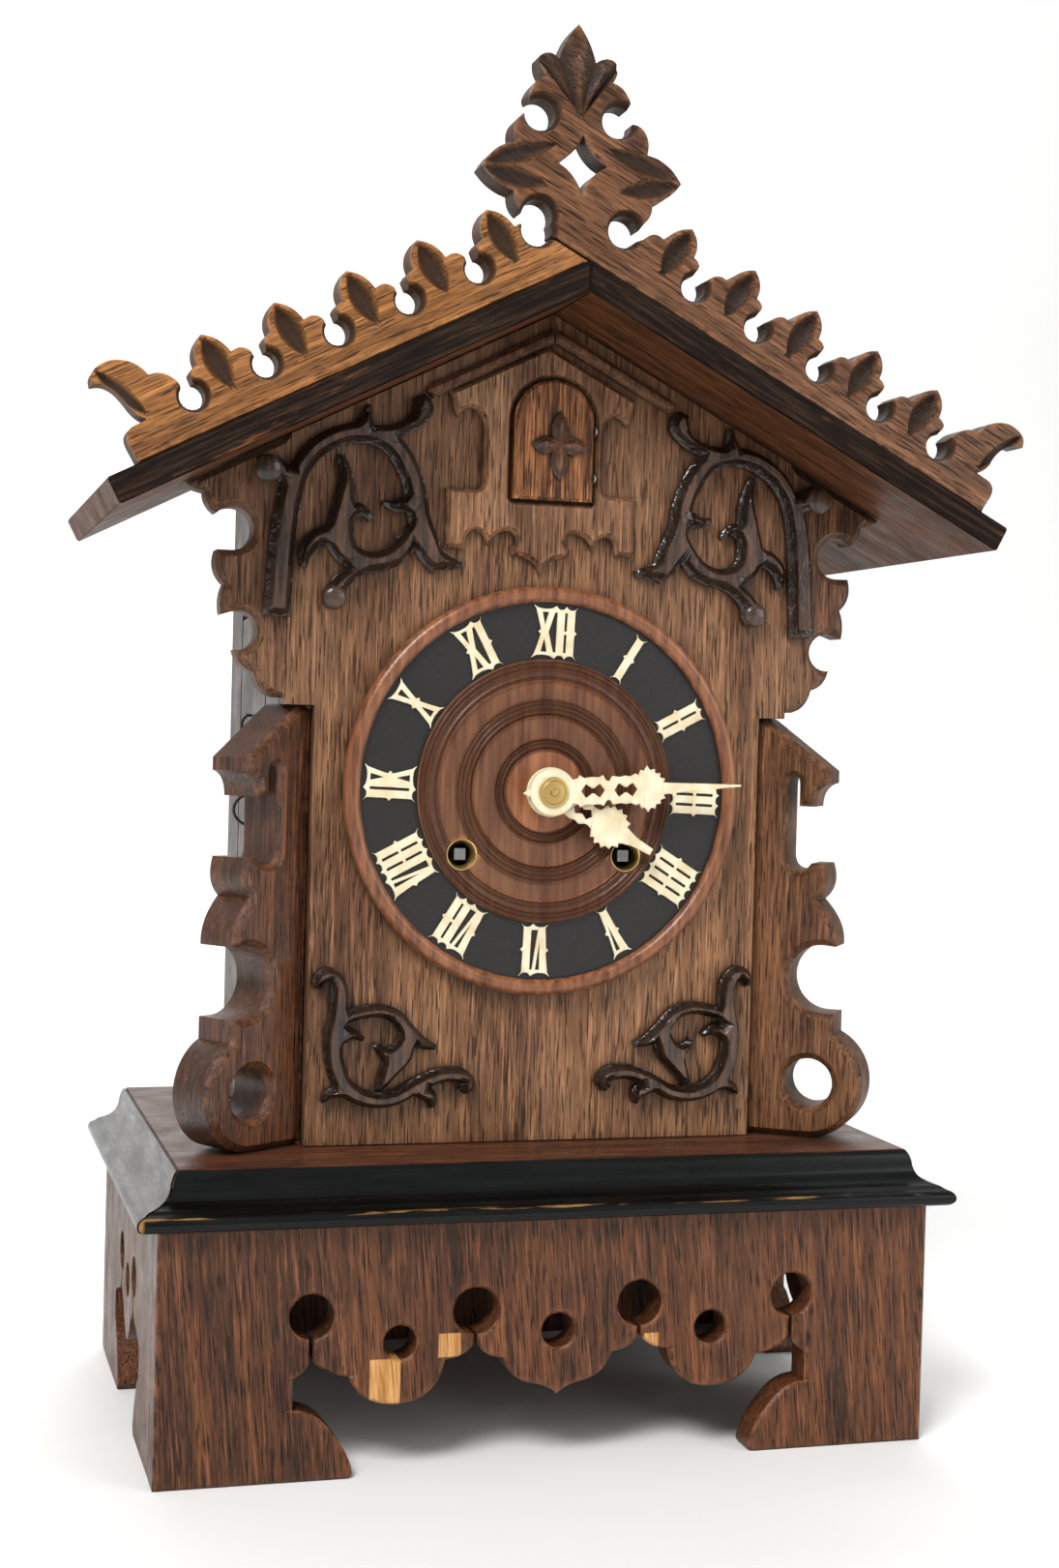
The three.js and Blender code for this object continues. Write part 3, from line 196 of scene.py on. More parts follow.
def oak(name, light, dark, patches=None, turn=(0, 0, 0), shift=(0, 0, 0), shine=0.45, coat=0.12,
        gloss=0.22, corner_shade=0.6, wear=0.0, hollow_shade=0.0, stripes=0.3, darker_up=0.0, pore_depth=0.16,
        splices=(), cracks=(), painted=None):
    """Open-pored oak: slow colour bands, pale streaks and short dark pores along the grain.

    A low shine is a smooth face. corner_shade paints shade into corners and under overhangs,
    wear bares edges, hollow_shade paints shade into what is carved below the face, and
    darker_up darkens the wood towards the gable. splices are rectangles of fresh wood let in as
    repairs, cracks are narrow dark ones. painted is the frame y in mm in front of which a board
    is black.
    """
    s = Shader(name, turn, shift)
    patches = srgb(*(patches or light))
    light, dark = srgb(*light), srgb(*dark)
    pale = tinted(light, 1.75, 0.015)
    streaks = s.grain(20, 680, 5, 0.72)
    fine = s.grain(26, 1400, 3, 0.65)
    pores = s.grain(18, 1500, 2, 0.55)
    color = s.layered(
        dark,
        (light, s.grain(9, 45, 3, 0.6, 0.8), 0.36, 0.64),
        (patches, s.grain(2.5, 18, 3, 0.55), 0.44, 0.68, 0, 0.8),
        (tinted(dark, 0.8), s.grain(40, 300, 2, 0.5), 0.44, 0.56, stripes, 0),
        (pale, streaks, 0.48, 0.68, 0, 0.6),
        (tinted(dark, 0.55), fine, 0.42, 0.6, 0.55, 0),
        (tinted(dark, 0.2), pores, 0.57, 0.63, 0, 0.85))
    rough = s.steps(s.noise(70), 0.3, 0.7, shine - 0.08, shine + 0.12)
    if wear:
        scuffs = s.steps(s.noise(240, 3, 0.6), 0.42, 0.62)
        edge = s.steps(s.attribute("worn"), 0.0, 1.0, 0.0, wear)
        color = s.mix(s.times(edge, scuffs), color, pale)
    if hollow_shade:
        # shade painted into what is carved below the face, darker the deeper it lies
        cut = s.mix(0.5, tinted(dark, 0.4), srgb(34, 27, 22))
        color = s.mix(s.times(s.attribute("hollow"), hollow_shade), color, cut)
        rough = s.math("ADD", rough, s.steps(s.attribute("hollow"), 0.3, 0.8, 0, 0.3))
    # the wood darkens towards the gable
    if darker_up:
        upper_tone = s.mix(0.5, color, tinted(dark, 0.75))
        color = s.layered(color, (upper_tone, s.axis("Z"), *DARKER_UP_SPAN, 0, darker_up))
    for splice in splices:
        fresh = s.layered(srgb(168, 112, 58), (srgb(208, 158, 98), fine, 0.4, 0.6))
        color = s.mix(s.window(*splice), color, fresh)
    for crack in cracks:
        color = s.mix(s.window(*crack), color, tinted(dark, 0.15))
    # shade painted into corners and under overhangs
    color = s.painted_shade(color, corner_shade)
    if painted is not None:
        front = s.math("LESS_THAN", s.axis("Y"), painted * MM)
        kept = s.steps(s.grain(7, 170, 4, 0.7), 0.58, 0.66, 1.0, 0.3)
        black = s.layered(srgb(20, 12, 8), (srgb(56, 39, 27), streaks, 0.46, 0.66))
        color = s.mix(s.times(front, kept), color, black)
        rough = s.math("ADD", rough, s.times(front, 0.25))
    height = s.math("SUBTRACT", s.steps(streaks, 0.3, 0.7, 0, 0.35), s.steps(pores, 0.57, 0.63))
    return s.finish(color, rough, s.bump(height, pore_depth), coat=coat, specular=gloss)


def carved_wood():
    """Dark oiled carving: close grain on the ridges, shiny gouge marks in the scooped sides."""
    s = Shader("carving")
    light, dark = srgb(92, 63, 45), srgb(32, 21, 15)
    grain = s.grain(12, 520, 4, 0.65)
    patches = s.noise(90)
    marks = s.noise(270, 2, 0.5, 0.8)
    hollow = s.attribute("hollow")
    # the scooped sides are darkened by their depth: painted shade
    color = s.layered(dark, (light, grain, 0.38, 0.64),
                      (tinted(dark, 0.5), patches, 0.45, 0.75, 0, 0.5),
                      (tinted(dark, 0.4), hollow, 0.1, 0.6, 0, 0.8))
    # shade painted into corners and under overhangs
    color = s.painted_shade(color, 0.6)
    cuts = s.times(marks, s.steps(hollow, 0.0, 0.4, 0.3, 1.3))
    height = s.math("ADD", cuts, s.times(grain, 0.25))
    dull_face = s.steps(hollow, 0.1, 0.5, 0.22, 0.0)
    rough = s.math("ADD", s.steps(patches, 0.3, 0.7, 0.26, 0.4), dull_face)
    return s.finish(color, rough, s.bump(height, 0.7), coat=0.6, coat_roughness=0.14,
                    specular=0.3)


def paint(name, color, worn, turn, gloss, rubbed_at=None, chips=()):
    """Black lacquer rubbed through to the wood along its edges, along one level and at chips."""
    s = Shader(name, turn)
    color = srgb(*color)
    grain = s.grain(20, 500, 3, 0.6)
    scuffs = s.grain(6, 190, 4, 0.7)
    edge = s.steps(s.attribute("worn"), 0.0, 0.9, 0.0, 0.9)
    rubbed = s.times(edge, s.steps(scuffs, 0.47, 0.56))
    if rubbed_at is not None:
        line = s.between(s.axis("Z"), rubbed_at - RUBBED / 2, rubbed_at + RUBBED / 2, 0.35)
        worn_here = s.steps(s.grain(12, 300, 4, 0.7), 0.52, 0.6)
        rubbed = s.math("MAXIMUM", rubbed, s.times(line, worn_here))
    for chip in chips:
        rubbed = s.math("MAXIMUM", rubbed, s.window(*chip, blur=1.2))
    haze = s.layered(color, (tinted(color, 2.0, 0.003), grain, 0.5, 0.7, 0, 0.4))
    rough = s.steps(scuffs, 0.3, 0.7, 0.2, 0.4)
    return s.finish(s.mix(rubbed, haze, srgb(*worn)), rough, s.bump(grain, 0.06), coat=0.1,
                    coat_roughness=0.12, specular=gloss)


def metal(name, color, dull, shine=0.32):
    """Old metal: finely brushed, with duller tarnished patches."""
    s = Shader(name)
    color = srgb(*color)
    brush = s.noise(900, 3, 0.6)
    tarnish = s.noise(60, 4, 0.55)
    tone = s.layered(color, (srgb(*dull), tarnish, 0.4, 0.75, 0.0, 0.6),
                     (tinted(color, 0.5), brush, 0.3, 0.7, 0, 0.25))
    rough = s.steps(tarnish, 0.35, 0.7, shine, shine + 0.25)
    return s.finish(tone, rough, s.bump(brush, 0.02), metallic=0.95)


def bone():
    """Ivory-coloured bone with faint long fibres and yellow stains."""
    s = Shader("bone")
    fibres = s.grain(8, 900, 3, 0.6)
    stain = s.noise(130, 3, 0.55)
    color = s.layered(srgb(226, 215, 186), (srgb(200, 180, 136), stain, 0.4, 0.72, 0, 0.8),
                      (srgb(188, 160, 112), fibres, 0.55, 0.75, 0, 0.5))
    rough = s.steps(stain, 0.3, 0.7, 0.34, 0.55)
    return s.finish(color, rough, s.bump(fibres, 0.03), coat=0.1)


def leather():
    s = Shader("leather")
    creases = s.noise(500, 4, 0.6, 0.5)
    cells = s.add("TexVoronoi", Vector=s.position, Scale=900.0).outputs["Distance"]
    color = s.layered(srgb(120, 86, 56), (srgb(168, 130, 88), creases, 0.35, 0.7))
    return s.finish(color, 0.7, s.bump(s.math("ADD", creases, cells), 0.08))


BEAD_EDGE = 90.0  # frame height of the cornice bead's worn upper edge, in mm
ROOF_PAINT = -84.6  # the roof boards are black in front of this frame y, in mm
DOWN_SLOPE = {side: (0, sign * (90 - SLOPE), 0) for side, sign in SIDES.items()}
BASE_LOOK = {"light": (122, 73, 42), "dark": (47, 27, 17), "patches": (102, 64, 40),
             "turn": (0, 5, 0), "shine": 0.42, "wear": 0.5}

CASE_OAK = oak("case oak", (158, 113, 77), (90, 58, 38), (158, 120, 88), corner_shade=0.35, darker_up=0.75)
BASE_OAK = oak("base oak", **BASE_LOOK)
BASE_FRONT_OAK = oak("base front oak", **BASE_LOOK, cracks=[(17.0, 17.4, -190, -162)],
                     splices=[(-65.2, -54.8, -206, -188.6), (-41.9, -34.2, -189, -181.0),
                              (30.6, 36.0, -192, -184.4)])
SIDE_OAK = oak("side oak", (84, 60, 44), (50, 34, 26), (88, 74, 64), gloss=0.5)
WING_OAK = oak("wing oak", (134, 92, 64), (68, 43, 30), (136, 102, 78), shine=0.38, coat=0.0,
               corner_shade=0.45, wear=0.5, hollow_shade=0.45, darker_up=0.5)
PANEL_OAK = oak("panel oak", (156, 112, 80), (92, 62, 42), (172, 134, 100),
                shift=(0.3, 0.1, 0.2), shine=0.36, corner_shade=0.7, wear=0.6, hollow_shade=0.6,
                stripes=0.1, cracks=[(-1.3, -0.9, 144.4, 153)])
BUTTRESS_OAK = {
    # the left buttress has darker colours than the right one: painted shade
    "left": oak("buttress oak left", (118, 70, 40), (48, 27, 16), (100, 62, 38), shine=0.2,
                coat=0.25, gloss=0.4, corner_shade=0.4, wear=0.8, hollow_shade=0.5),
    "right": oak("buttress oak right", (132, 88, 56), (70, 43, 27), (138, 96, 62),
                 shift=(0.1, 0.2, 0.5), shine=0.34, coat=0.0, corner_shade=0.4, wear=0.8, hollow_shade=0.5)}
DOOR_OAK = oak("door oak", (190, 126, 78), (74, 43, 26), (150, 98, 62), shift=(0.2, 0.6, 0.1),
               shine=0.38, coat=0.0, corner_shade=0.4, stripes=0.95)
STAR_OAK = oak("rosette oak", (132, 84, 50), (56, 34, 21), shine=0.26, coat=0.2, gloss=0.5,
               wear=0.8, hollow_shade=0.7)
CREST_OAK = {
    "left": oak("crest oak left", (164, 110, 60), (106, 67, 36), (154, 104, 60),
                DOWN_SLOPE["left"], shine=0.36, coat=0.0, wear=0.5, hollow_shade=1.0),
    "right": oak("crest oak right", (124, 84, 56), (64, 42, 29), (112, 76, 52),
                 DOWN_SLOPE["right"], shine=0.32, coat=0.0, wear=0.7, hollow_shade=0.9)}
ROOF_OAK = {side: oak("roof oak " + side, (124, 76, 44), (64, 37, 22), (108, 68, 42), turn,
                      shine=0.5, coat=0.0, gloss=0.12, corner_shade=0.3, painted=ROOF_PAINT)
            for side, turn in DOWN_SLOPE.items()}
TOP_OAK = oak("base top oak", (112, 64, 40), (56, 31, 20), turn=(0, 90, 0), shine=0.34,
              coat=0.05, corner_shade=0.4)
CARVING = carved_wood()
BLACK = paint("black paint", (5, 6, 6), (150, 110, 62), (0, 90, 0), 0.2, BEAD_EDGE,
              chips=[(-146, -141.6, -144, -137.6)])
BLACK_SIDE = paint("black paint side", (16, 14, 13), (120, 92, 60), (90, 0, 0), 0.5)
BRASS = metal("brass", (214, 184, 118), (146, 116, 66), 0.26)
STEEL = metal("steel", (150, 150, 150), (90, 88, 86))
IRON = metal("dark iron", (70, 66, 62), (38, 33, 30), 0.42)
PINE = oak("pine", (176, 138, 92), (132, 98, 62), shine=0.55, coat=0.0, pore_depth=0.04)
BONE = bone()

by_slot = {"oak": CASE_OAK, "base_oak": BASE_OAK, "light_oak": PANEL_OAK,
           "dark_oak": ROOF_OAK["left"], "black_wood": BLACK, "carving": CARVING,
           "dial_wood": TOP_OAK, "pine": PINE, "bone": BONE, "brass": BRASS, "steel": STEEL,
           "leather": leather()}
slot_of = {part["node"]: part["material_slot"] for part in frame["record"]["subparts"]}
body_of = {node: body for body, nodes in frame["record"]["behaviour"]["bodies"].items()
           for node in nodes}
for name, piece in frame["nodes"].items():
    piece.data.materials.clear()
    piece.data.materials.append(by_slot[slot_of[name]])


# ---- outlines of the CAD boards
UPRIGHT = (Vector((1, 0, 0)), Vector((0, 0, 1)))  # the axes of boards that face the front
CORNER = radians(42)  # sharper turns stay sharp
STRAIGHT = 7.5  # two edges longer than this meet in a corner
RUN_IN = 2.2  # an edge this much longer than its neighbour is straight
SAME_POINT = 1e-6  # corners closer than this are one, in metres
FACE_SLACK = 2e-5  # how uneven a flat face may be, in metres


def welded(node):
    """A CAD node as an editable mesh, its coinciding corners joined."""
    bm = bmesh.new()
    bm.from_mesh(frame["nodes"][node].data)
    bmesh.ops.remove_doubles(bm, verts=bm.verts, dist=SAME_POINT)
    return bm


class Plane:
    """The face of a sheet on two axes: front is how far it stands out along their normal."""

    def __init__(self, axes=UPRIGHT, front_y=0.0, thickness=0.0):
        self.right, self.up = axes
        self.out = self.right.cross(self.up)
        self.front = place(0, front_y, 0).dot(self.out)
        self.thickness = thickness

    def lift(self, s, t, depth):
        """A world point from the face's own axes and a depth in mm below it."""
        local = self.right * s + self.up * t + HUB
        local -= self.out * local.dot(self.out)
        return local * MM + self.out * (self.front - depth * MM)


class Board(Plane):
    """The broad face of a CAD board, with its outlines."""

    def __init__(self, node, axes=UPRIGHT):
        super().__init__(axes)
        bm = welded(node)
        reach = [v.co.dot(self.out) for v in bm.verts]
        self.front = max(reach)
        self.thickness = (self.front - min(reach)) / MM
        edges = {}
        for face in bm.faces:
            level = min(v.co.dot(self.out) for v in face.verts)
            if face.normal.dot(self.out) >= 0.999 and level >= self.front - FACE_SLACK:
                for loop in face.loops:
                    edges[(loop.vert.index, loop.link_loop_next.vert.index)] = True
        follow = {a: b for a, b in edges if (b, a) not in edges}
        bm.verts.ensure_lookup_table()
        self.loops = []
        while follow:
            start, here = follow.popitem()
            chain = [start]
            while here != start:
                chain.append(here)
                here = follow.pop(here)
            points = [bm.verts[i].co / MM - HUB for i in chain]
            self.loops.append([np.array((p.dot(self.right), p.dot(self.up))) for p in points])
        bm.free()


def drop_straight(points):
    """Leaves out points that lie on a straight line between their neighbours."""
    kept = []
    for i, here in enumerate(points):
        a = here - points[i - 1]
        b = points[(i + 1) % len(points)] - here
        turn = abs(a[0] * b[1] - a[1] * b[0])
        if turn > 1e-3 * norm(a) * norm(b) or np.dot(a, b) < 0:
            kept.append(here)
    return kept


def smooth_loop(points, spacing):
    """Runs a fair curve through a closed outline, keeping its corners and straight edges."""
    points = drop_straight(points)
    points = [p for i, p in enumerate(points) if norm(p - points[i - 1]) > 0.4]
    count = len(points)
    steps = [points[(i + 1) % count] - points[i] for i in range(count)]
    lengths = [norm(step) for step in steps]
    units = [step / length for step, length in zip(steps, lengths)]
    tangents = []
    for i in range(count):
        before, after = units[i - 1], units[i]
        turn = acos(max(-1.0, min(1.0, float(np.dot(before, after)))))
        if turn > CORNER or min(lengths[i - 1], lengths[i]) > STRAIGHT:
            tangents.append((before, after))
        elif lengths[i - 1] > RUN_IN * lengths[i]:
            tangents.append((before, before))
        elif lengths[i] > RUN_IN * lengths[i - 1]:
            tangents.append((after, after))
        else:
            mean = (before + after) / norm(before + after)
            tangents.append((mean, mean))
    dense = []
    for i in range(count):
        start, end = points[i], points[(i + 1) % count]
        leave = tangents[i][1] * lengths[i]
        arrive = tangents[(i + 1) % count][0] * lengths[i]
        pieces = max(1, round(lengths[i] / spacing))
        for k in range(pieces):
            u = k / pieces
            dense.append((2 * u**3 - 3 * u**2 + 1) * start + (u**3 - 2 * u**2 + u) * leave
                         + (3 * u**2 - 2 * u**3) * end + (u**3 - u**2) * arrive)
    return dense


# ---- points and triangles
def edge_distance(points, starts, ends):
    """Distance of each point to the nearest edge of the outlines."""
    result = np.empty(len(points))
    run = ends - starts
    square = np.maximum((run**2).sum(axis=1), 1e-12)
    batch = 400  # points taken at a time, to save memory
    for low in range(0, len(points), batch):
        block = points[low:low + batch, None, :]
        u = np.clip(((block - starts) * run).sum(axis=2) / square, 0, 1)
        gap = block - (starts + u[..., None] * run)
        result[low:low + batch] = np.sqrt((gap**2).sum(axis=2).min(axis=1))
    return result


def inside(points, starts, ends):
    """True for points inside the outlines, holes left out."""
    result = np.zeros(len(points), dtype=bool)
    for a, b in zip(starts, ends):
        if a[1] == b[1]:
            continue
        crosses = (a[1] > points[:, 1]) != (b[1] > points[:, 1])
        at = a[0] + (points[:, 1] - a[1]) * (b[0] - a[0]) / (b[1] - a[1])
        result ^= crosses & (points[:, 0] < at)
    return result


def joined(loops):
    """The points of all outlines in one list, and the index of the next point for each."""
    rim, following = [], []
    for loop in loops:
        base = len(rim)
        following += [base + (i + 1) % len(loop) for i in range(len(loop))]
        rim += list(loop)
    return rim, following


def triangulate(points, following):
    """Points, triangles and each point's origins; outlines stay whole."""
    spots, _, triangles, origins, _, _ = delaunay_2d_cdt(
        [Vector(p) for p in points], list(enumerate(following)), [], 2, 1e-5)
    return np.array([tuple(p) for p in spots]), triangles, origins


def counter_clockwise(points):
    """Whether a closed outline runs to the left."""
    return sum(a[0] * b[1] - b[0] * a[1] for a, b in zip(points, points[1:] + points[:1])) > 0


def solid_part(spots, triangles, starts, ends):
    """The triangles that lie in the board and not in a hole, all wound to the left."""
    middles = np.array([spots[list(tri)].mean(axis=0) for tri in triangles])
    return [tri if counter_clockwise([spots[k] for k in tri]) else tri[::-1]
            for tri, solid in zip(triangles, inside(middles, starts, ends)) if solid]


def scatter(starts, ends, insets, grid, spacing, extra):
    """Points inside the outlines: the extra ones, rows that follow the edge, a regular grid."""
    def clear(points, gap):
        return points[(edge_distance(points, starts, ends) > gap) & inside(points, starts, ends)]

    extra = np.array(extra).reshape(-1, 2)
    rows = list(clear(extra, insets[-1] + 0.3))
    along = ends - starts
    inward = np.stack((-along[:, 1], along[:, 0]), axis=1)
    inward /= np.maximum(norm(inward, axis=1), 1e-9)[:, None]
    for inset in insets:
        taken = set()
        for point in clear((starts + ends) / 2 + inward * inset, inset * 0.93):
            cell = (round(point[0] / spacing / 0.6), round(point[1] / spacing / 0.6))
            if cell not in taken:
                taken.add(cell)
                rows.append(point)
    if grid:
        low, high = starts.min(axis=0), starts.max(axis=0)
        columns = np.arange(low[0], high[0], grid)
        heights = np.arange(low[1], high[1], grid * 0.87)
        points = clear(np.array([(x + (j % 2) * grid / 2, y) for j, y in enumerate(heights)
                                 for x in columns]), insets[-1] + grid * 0.6)
        gap = norm(points[:, None] - extra[None], axis=2).min(axis=1, initial=grid)
        rows.extend(points[gap > grid * 0.55])
    return rows


# ---- making pieces
ARRIS = 1.6  # depth of the worn arris down the walls of a board
WORN_REACH = 0.9  # how fast wear fades inwards from an outline


def new_object(name, data):
    made = bpy.data.objects.new(name, data)
    scene.collection.objects.link(made)
    return made


def add_object(name, mesh, material, like, replaced=(), node_slot=None):
    """Adds a piece with the given material on the body of the CAD node like."""
    mesh.materials.append(material)
    piece = new_object(name, mesh)
    body = body_of[like]
    node_slot = node_slot or slot_of[like]
    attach(piece, body)
    if replaced:
        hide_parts(*replaced)
    return piece


def soften(mesh, angle=34):
    """Smooth shading, split along edges sharper than the angle in degrees."""
    bm = bmesh.new()
    bm.from_mesh(mesh)
    for face in bm.faces:
        face.smooth = True
    for edge in bm.edges:
        edge.smooth = len(edge.link_faces) == 2 and edge.calc_face_angle() < radians(angle)
    bm.to_mesh(mesh)
    bm.free()


def finished(bm, name, angle=34):
    mesh = bpy.data.meshes.new(name)
    bm.to_mesh(mesh)
    bm.free()
    soften(mesh, angle)
    return mesh


def sheet_mesh(name, plane, loops, depth, insets, grid, spacing, extra=()):
    """A closed board from its outlines; depth(d, s, t) is how far its face lies below the
    plane's front, d being the distance from the outline."""
    thickness = plane.thickness
    rim, following = joined(loops)
    starts = np.array(rim)
    ends = starts[following]
    inner = scatter(starts, ends, insets, grid, spacing, extra)
    spots, triangles, origins = triangulate(rim + inner, following)
    front = solid_part(spots, triangles, starts, ends)
    at_rim = {origin: index for index, found in enumerate(origins) for origin in found
              if origin < len(rim)}
    distance = edge_distance(spots, starts, ends)
    distance[list(at_rim.values())] = 0.0
    depths = [min(thickness - 0.2, depth(d, s, t)) for d, (s, t) in zip(distance, spots)]
    vertices = [plane.lift(s, t, z) for (s, t), z in zip(spots, depths)]
    worn = [exp(-d / WORN_REACH) for d in distance]
    # hollow is how far the face lies below the front: the mask for shade painted into carving; the
    # walls take 0.6 of it
    hollow = [max(0.0, min(1.0, (z - 0.3) / 1.5)) for z in depths]
    below = {}  # rim point: its vertex at the foot of the arris and the back
    for index in dict.fromkeys(at_rim.values()):
        s, t = spots[index]
        below[index] = (len(vertices), len(vertices) + 1)
        vertices.append(plane.lift(s, t, min(depths[index] + ARRIS, thickness - 0.1)))
        vertices.append(plane.lift(s, t, thickness))
        worn += [0.0, 0.0]
        hollow += [0.6, 0.6]
    walls = []
    for origin, after in enumerate(following):
        a, b = at_rim[origin], at_rim[after]
        if a != b:
            (a1, a2), (b1, b2) = below[a], below[b]
            walls += [(b, a, a1, b1), (b1, a1, a2, b2)]
    spots, triangles, origins = triangulate(rim, following)
    rear = [tuple(below[at_rim[origins[k][0]]][1] for k in reversed(tri))
            for tri in solid_part(spots, triangles, starts, ends)]
    mesh = bpy.data.meshes.new(name)
    mesh.from_pydata(vertices, [], front + walls + rear)
    for label, values in (("worn", worn), ("hollow", hollow)):
        mesh.attributes.new(label, "FLOAT", "POINT").data.foreach_set("value", values)
    soften(mesh)
    return mesh


def carve(node, material, depth, insets, grid=0.0, spacing=1.2, axes=UPRIGHT, extra=()):
    """Rebuilds a CAD board with a carved front."""
    board = Board(node, axes)
    loops = [smooth_loop(loop, spacing) for loop in board.loops]
    name = node + "_carved"
    mesh = sheet_mesh(name, board, loops, depth, insets, grid, spacing, extra)
    add_object(name, mesh, material, node, (node,))


def fret(name, plane, loops, like, edge, move, replaced=()):
    """A thin piece sawn from bone, with slightly rounded edges."""
    loops = [[np.array(move(point)) for point in loop] for loop in loops]
    mesh = sheet_mesh(name, plane, loops, chamfer(edge), (edge,), 0.0, 0.5)
    add_object(name, mesh, BONE, like, replaced)


def bevelled(node, material, edge):
    """A copy of a CAD node with rounded edges."""
    bm = welded(node)
    bmesh.ops.dissolve_limit(bm, angle_limit=radians(1), verts=bm.verts, edges=bm.edges)
    worn = bm.faces.layers.float.new("worn")
    edges = [e for e in bm.edges
             if len(e.link_faces) == 2 and e.calc_face_angle() > radians(30)]
    made = bmesh.ops.bevel(bm, geom=edges, offset=edge * MM, segments=2, affect="EDGES",
                           clamp_overlap=True)
    for face in made["faces"]:
        face[worn] = 1.0
    name = node + "_worn"
    add_object(name, finished(bm, name, 40), material, node, (node,))


def join_rings(bm, a, b, shift=0):
    """Faces between two rings of corners; a ring may be a single corner."""
    sides = max(len(a), len(b))
    for k in range(sides):
        n = (k + 1) % sides
        quad = [a[k % len(a)], a[n % len(a)], b[(n + shift) % len(b)], b[(k + shift) % len(b)]]
        corners = list(dict.fromkeys(quad))
        if len(corners) > 2:
            bm.faces.new(corners)


def lathe(name, profile, material, like, centre, around, replaced=()):
    """A piece turned about the Y axis from (radius, y) points that start and end on the axis
    or close on themselves."""
    bm = bmesh.new()
    rings = []
    for radius, y in profile:
        spots = circle(radius, around if radius else 1, (centre[0], centre[2]))
        rings.append([bm.verts.new(place(x, centre[1] + y, z)) for x, z in spots])
    closed = profile[0][0] > 0
    for a, b in zip(rings, rings[1:] + rings[:1] if closed else rings[1:]):
        join_rings(bm, a, b)
    bmesh.ops.recalc_face_normals(bm, faces=bm.faces)
    return add_object(name, finished(bm, name), material, like, replaced)


def drill(piece, x, z, radius):
    """Bores a round hole along Y through a piece that hangs on the case front."""
    rear, front = 1.0, -20.0
    bm = bmesh.new()
    bmesh.ops.create_cone(bm, cap_ends=True, segments=40, radius1=radius * MM,
                          radius2=radius * MM, depth=(rear - front) * MM,
                          matrix=Matrix.Rotation(pi / 2, 4, "X"))
    bmesh.ops.translate(bm, verts=bm.verts, vec=place(x, (front + rear) / 2, z))
    tool = new_object("drill", finished(bm, "drill"))
    cut = piece.modifiers.new("hole", "BOOLEAN")
    cut.object = tool
    cut.operation = "DIFFERENCE"
    bpy.context.view_layer.update()
    piece.data = bpy.data.meshes.new_from_object(
        piece.evaluated_get(bpy.context.evaluated_depsgraph_get()))
    piece.modifiers.clear()
    soften(piece.data)
    bpy.data.objects.remove(tool)


def chamfer(width, height=None):
    """A sloping edge that is width wide on the face and height deep at the outline."""
    drop = width if height is None else height
    return lambda d, s, t: drop * max(0.0, 1 - d / width)


def sawn(node, material, axes):
    """A fretted board, chamfered all round but for the straight edge at the case front."""
    inner = min(abs(point[0]) for loop in Board(node, axes).loops for point in loop)
    edge = chamfer(SAWN_EDGE)
    carve(node, material, lambda d, s, t: 0.15 if abs(s) - inner <= d + 0.05 else edge(d, s, t),
          (SAWN_EDGE / 2, SAWN_EDGE), axes=axes)


def ridge(width, height):
    """A stroke with scooped sides that rise steeply to a flat along its middle."""
    return lambda d, s, t: height * (1 - min(d / width, 1.0)**1.7)


# ---- the case
SAWN_EDGE = 2.4  # chamfer of the fretted wings and buttresses
BUTTRESS_TURN = radians(35)  # how far a buttress is turned out from the case front
for side, sign in SIDES.items():
    carve("scroll_upper_" + side, CARVING, ridge(2.7, 4.4), (0.9, 1.7, 2.3, 2.7, 3.0))
    carve("scroll_lower_" + side, CARVING, ridge(2.0, 4.2), (0.7, 1.3, 1.7, 2.0, 2.3))
    sawn("wing_" + side, WING_OAK, UPRIGHT)
    carve("gable_moulding_" + side, WING_OAK, chamfer(1.6, 1.8), (0.8, 1.6))
    turn = BUTTRESS_TURN * sign
    sawn("buttress_" + side, BUTTRESS_OAK[side],
         (Vector((cos(turn), -sin(turn), 0)), Vector((0, 0, 1))))
    bevelled("case_side_" + side, SIDE_OAK, 0.5)
    bevelled("side_door_" + side, SIDE_OAK, 0.8)
    bevelled("base_side_" + side, BASE_OAK, 0.7)
    bevelled("cornice_" + side, BLACK_SIDE, 0.35)
    bevelled("roof_" + side, ROOF_OAK[side], 0.5)

carve("base_front", BASE_FRONT_OAK, chamfer(0.8), (0.8, 3.0), spacing=1.6)
carve("door_surround", PANEL_OAK, chamfer(1.6, 2.0), (0.8, 1.6, 3.0))
carve("cuckoo_door", DOOR_OAK, chamfer(1.0, 0.8), (0.5, 1.0))
bevelled("base_back", BASE_OAK, 0.7)
bevelled("base_top", TOP_OAK, 0.5)
bevelled("cornice_front", BLACK, 0.35)
bevelled("case_front", CASE_OAK, 0.15)
bevelled("back_door", PINE, 0.6)


# ---- the crest
ROOF_RISE = radians(SLOPE)
LEAVES = 5  # full leaves on one slope, with a round cut after each
LEAF_PITCH = 26.2
FIRST_HOLE = 10.2
HOLE_UP = 12.2  # centre of the round cuts above the roof
HOLE_R = 4.3
CUT_R = 5.4  # the larger cuts round the finial
FLARE = 1.5  # width of the scooped rim round each cut
FLARE_DEEP = 3.4
FINIAL_AXIS, FINIAL_LEAN, FINIAL_LEVEL = -3.2, 0.06, 208


def slope_point(side, along, up):
    return (side * (along * cos(ROOF_RISE) + up * sin(ROOF_RISE)),
            ROOF_APEX + 0.2 - along * sin(ROOF_RISE) + up * cos(ROOF_RISE))


def on_finial(x, z):
    """A point given from the finial's own leaning axis."""
    return (x + FINIAL_AXIS - FINIAL_LEAN * (z - FINIAL_LEVEL), z)


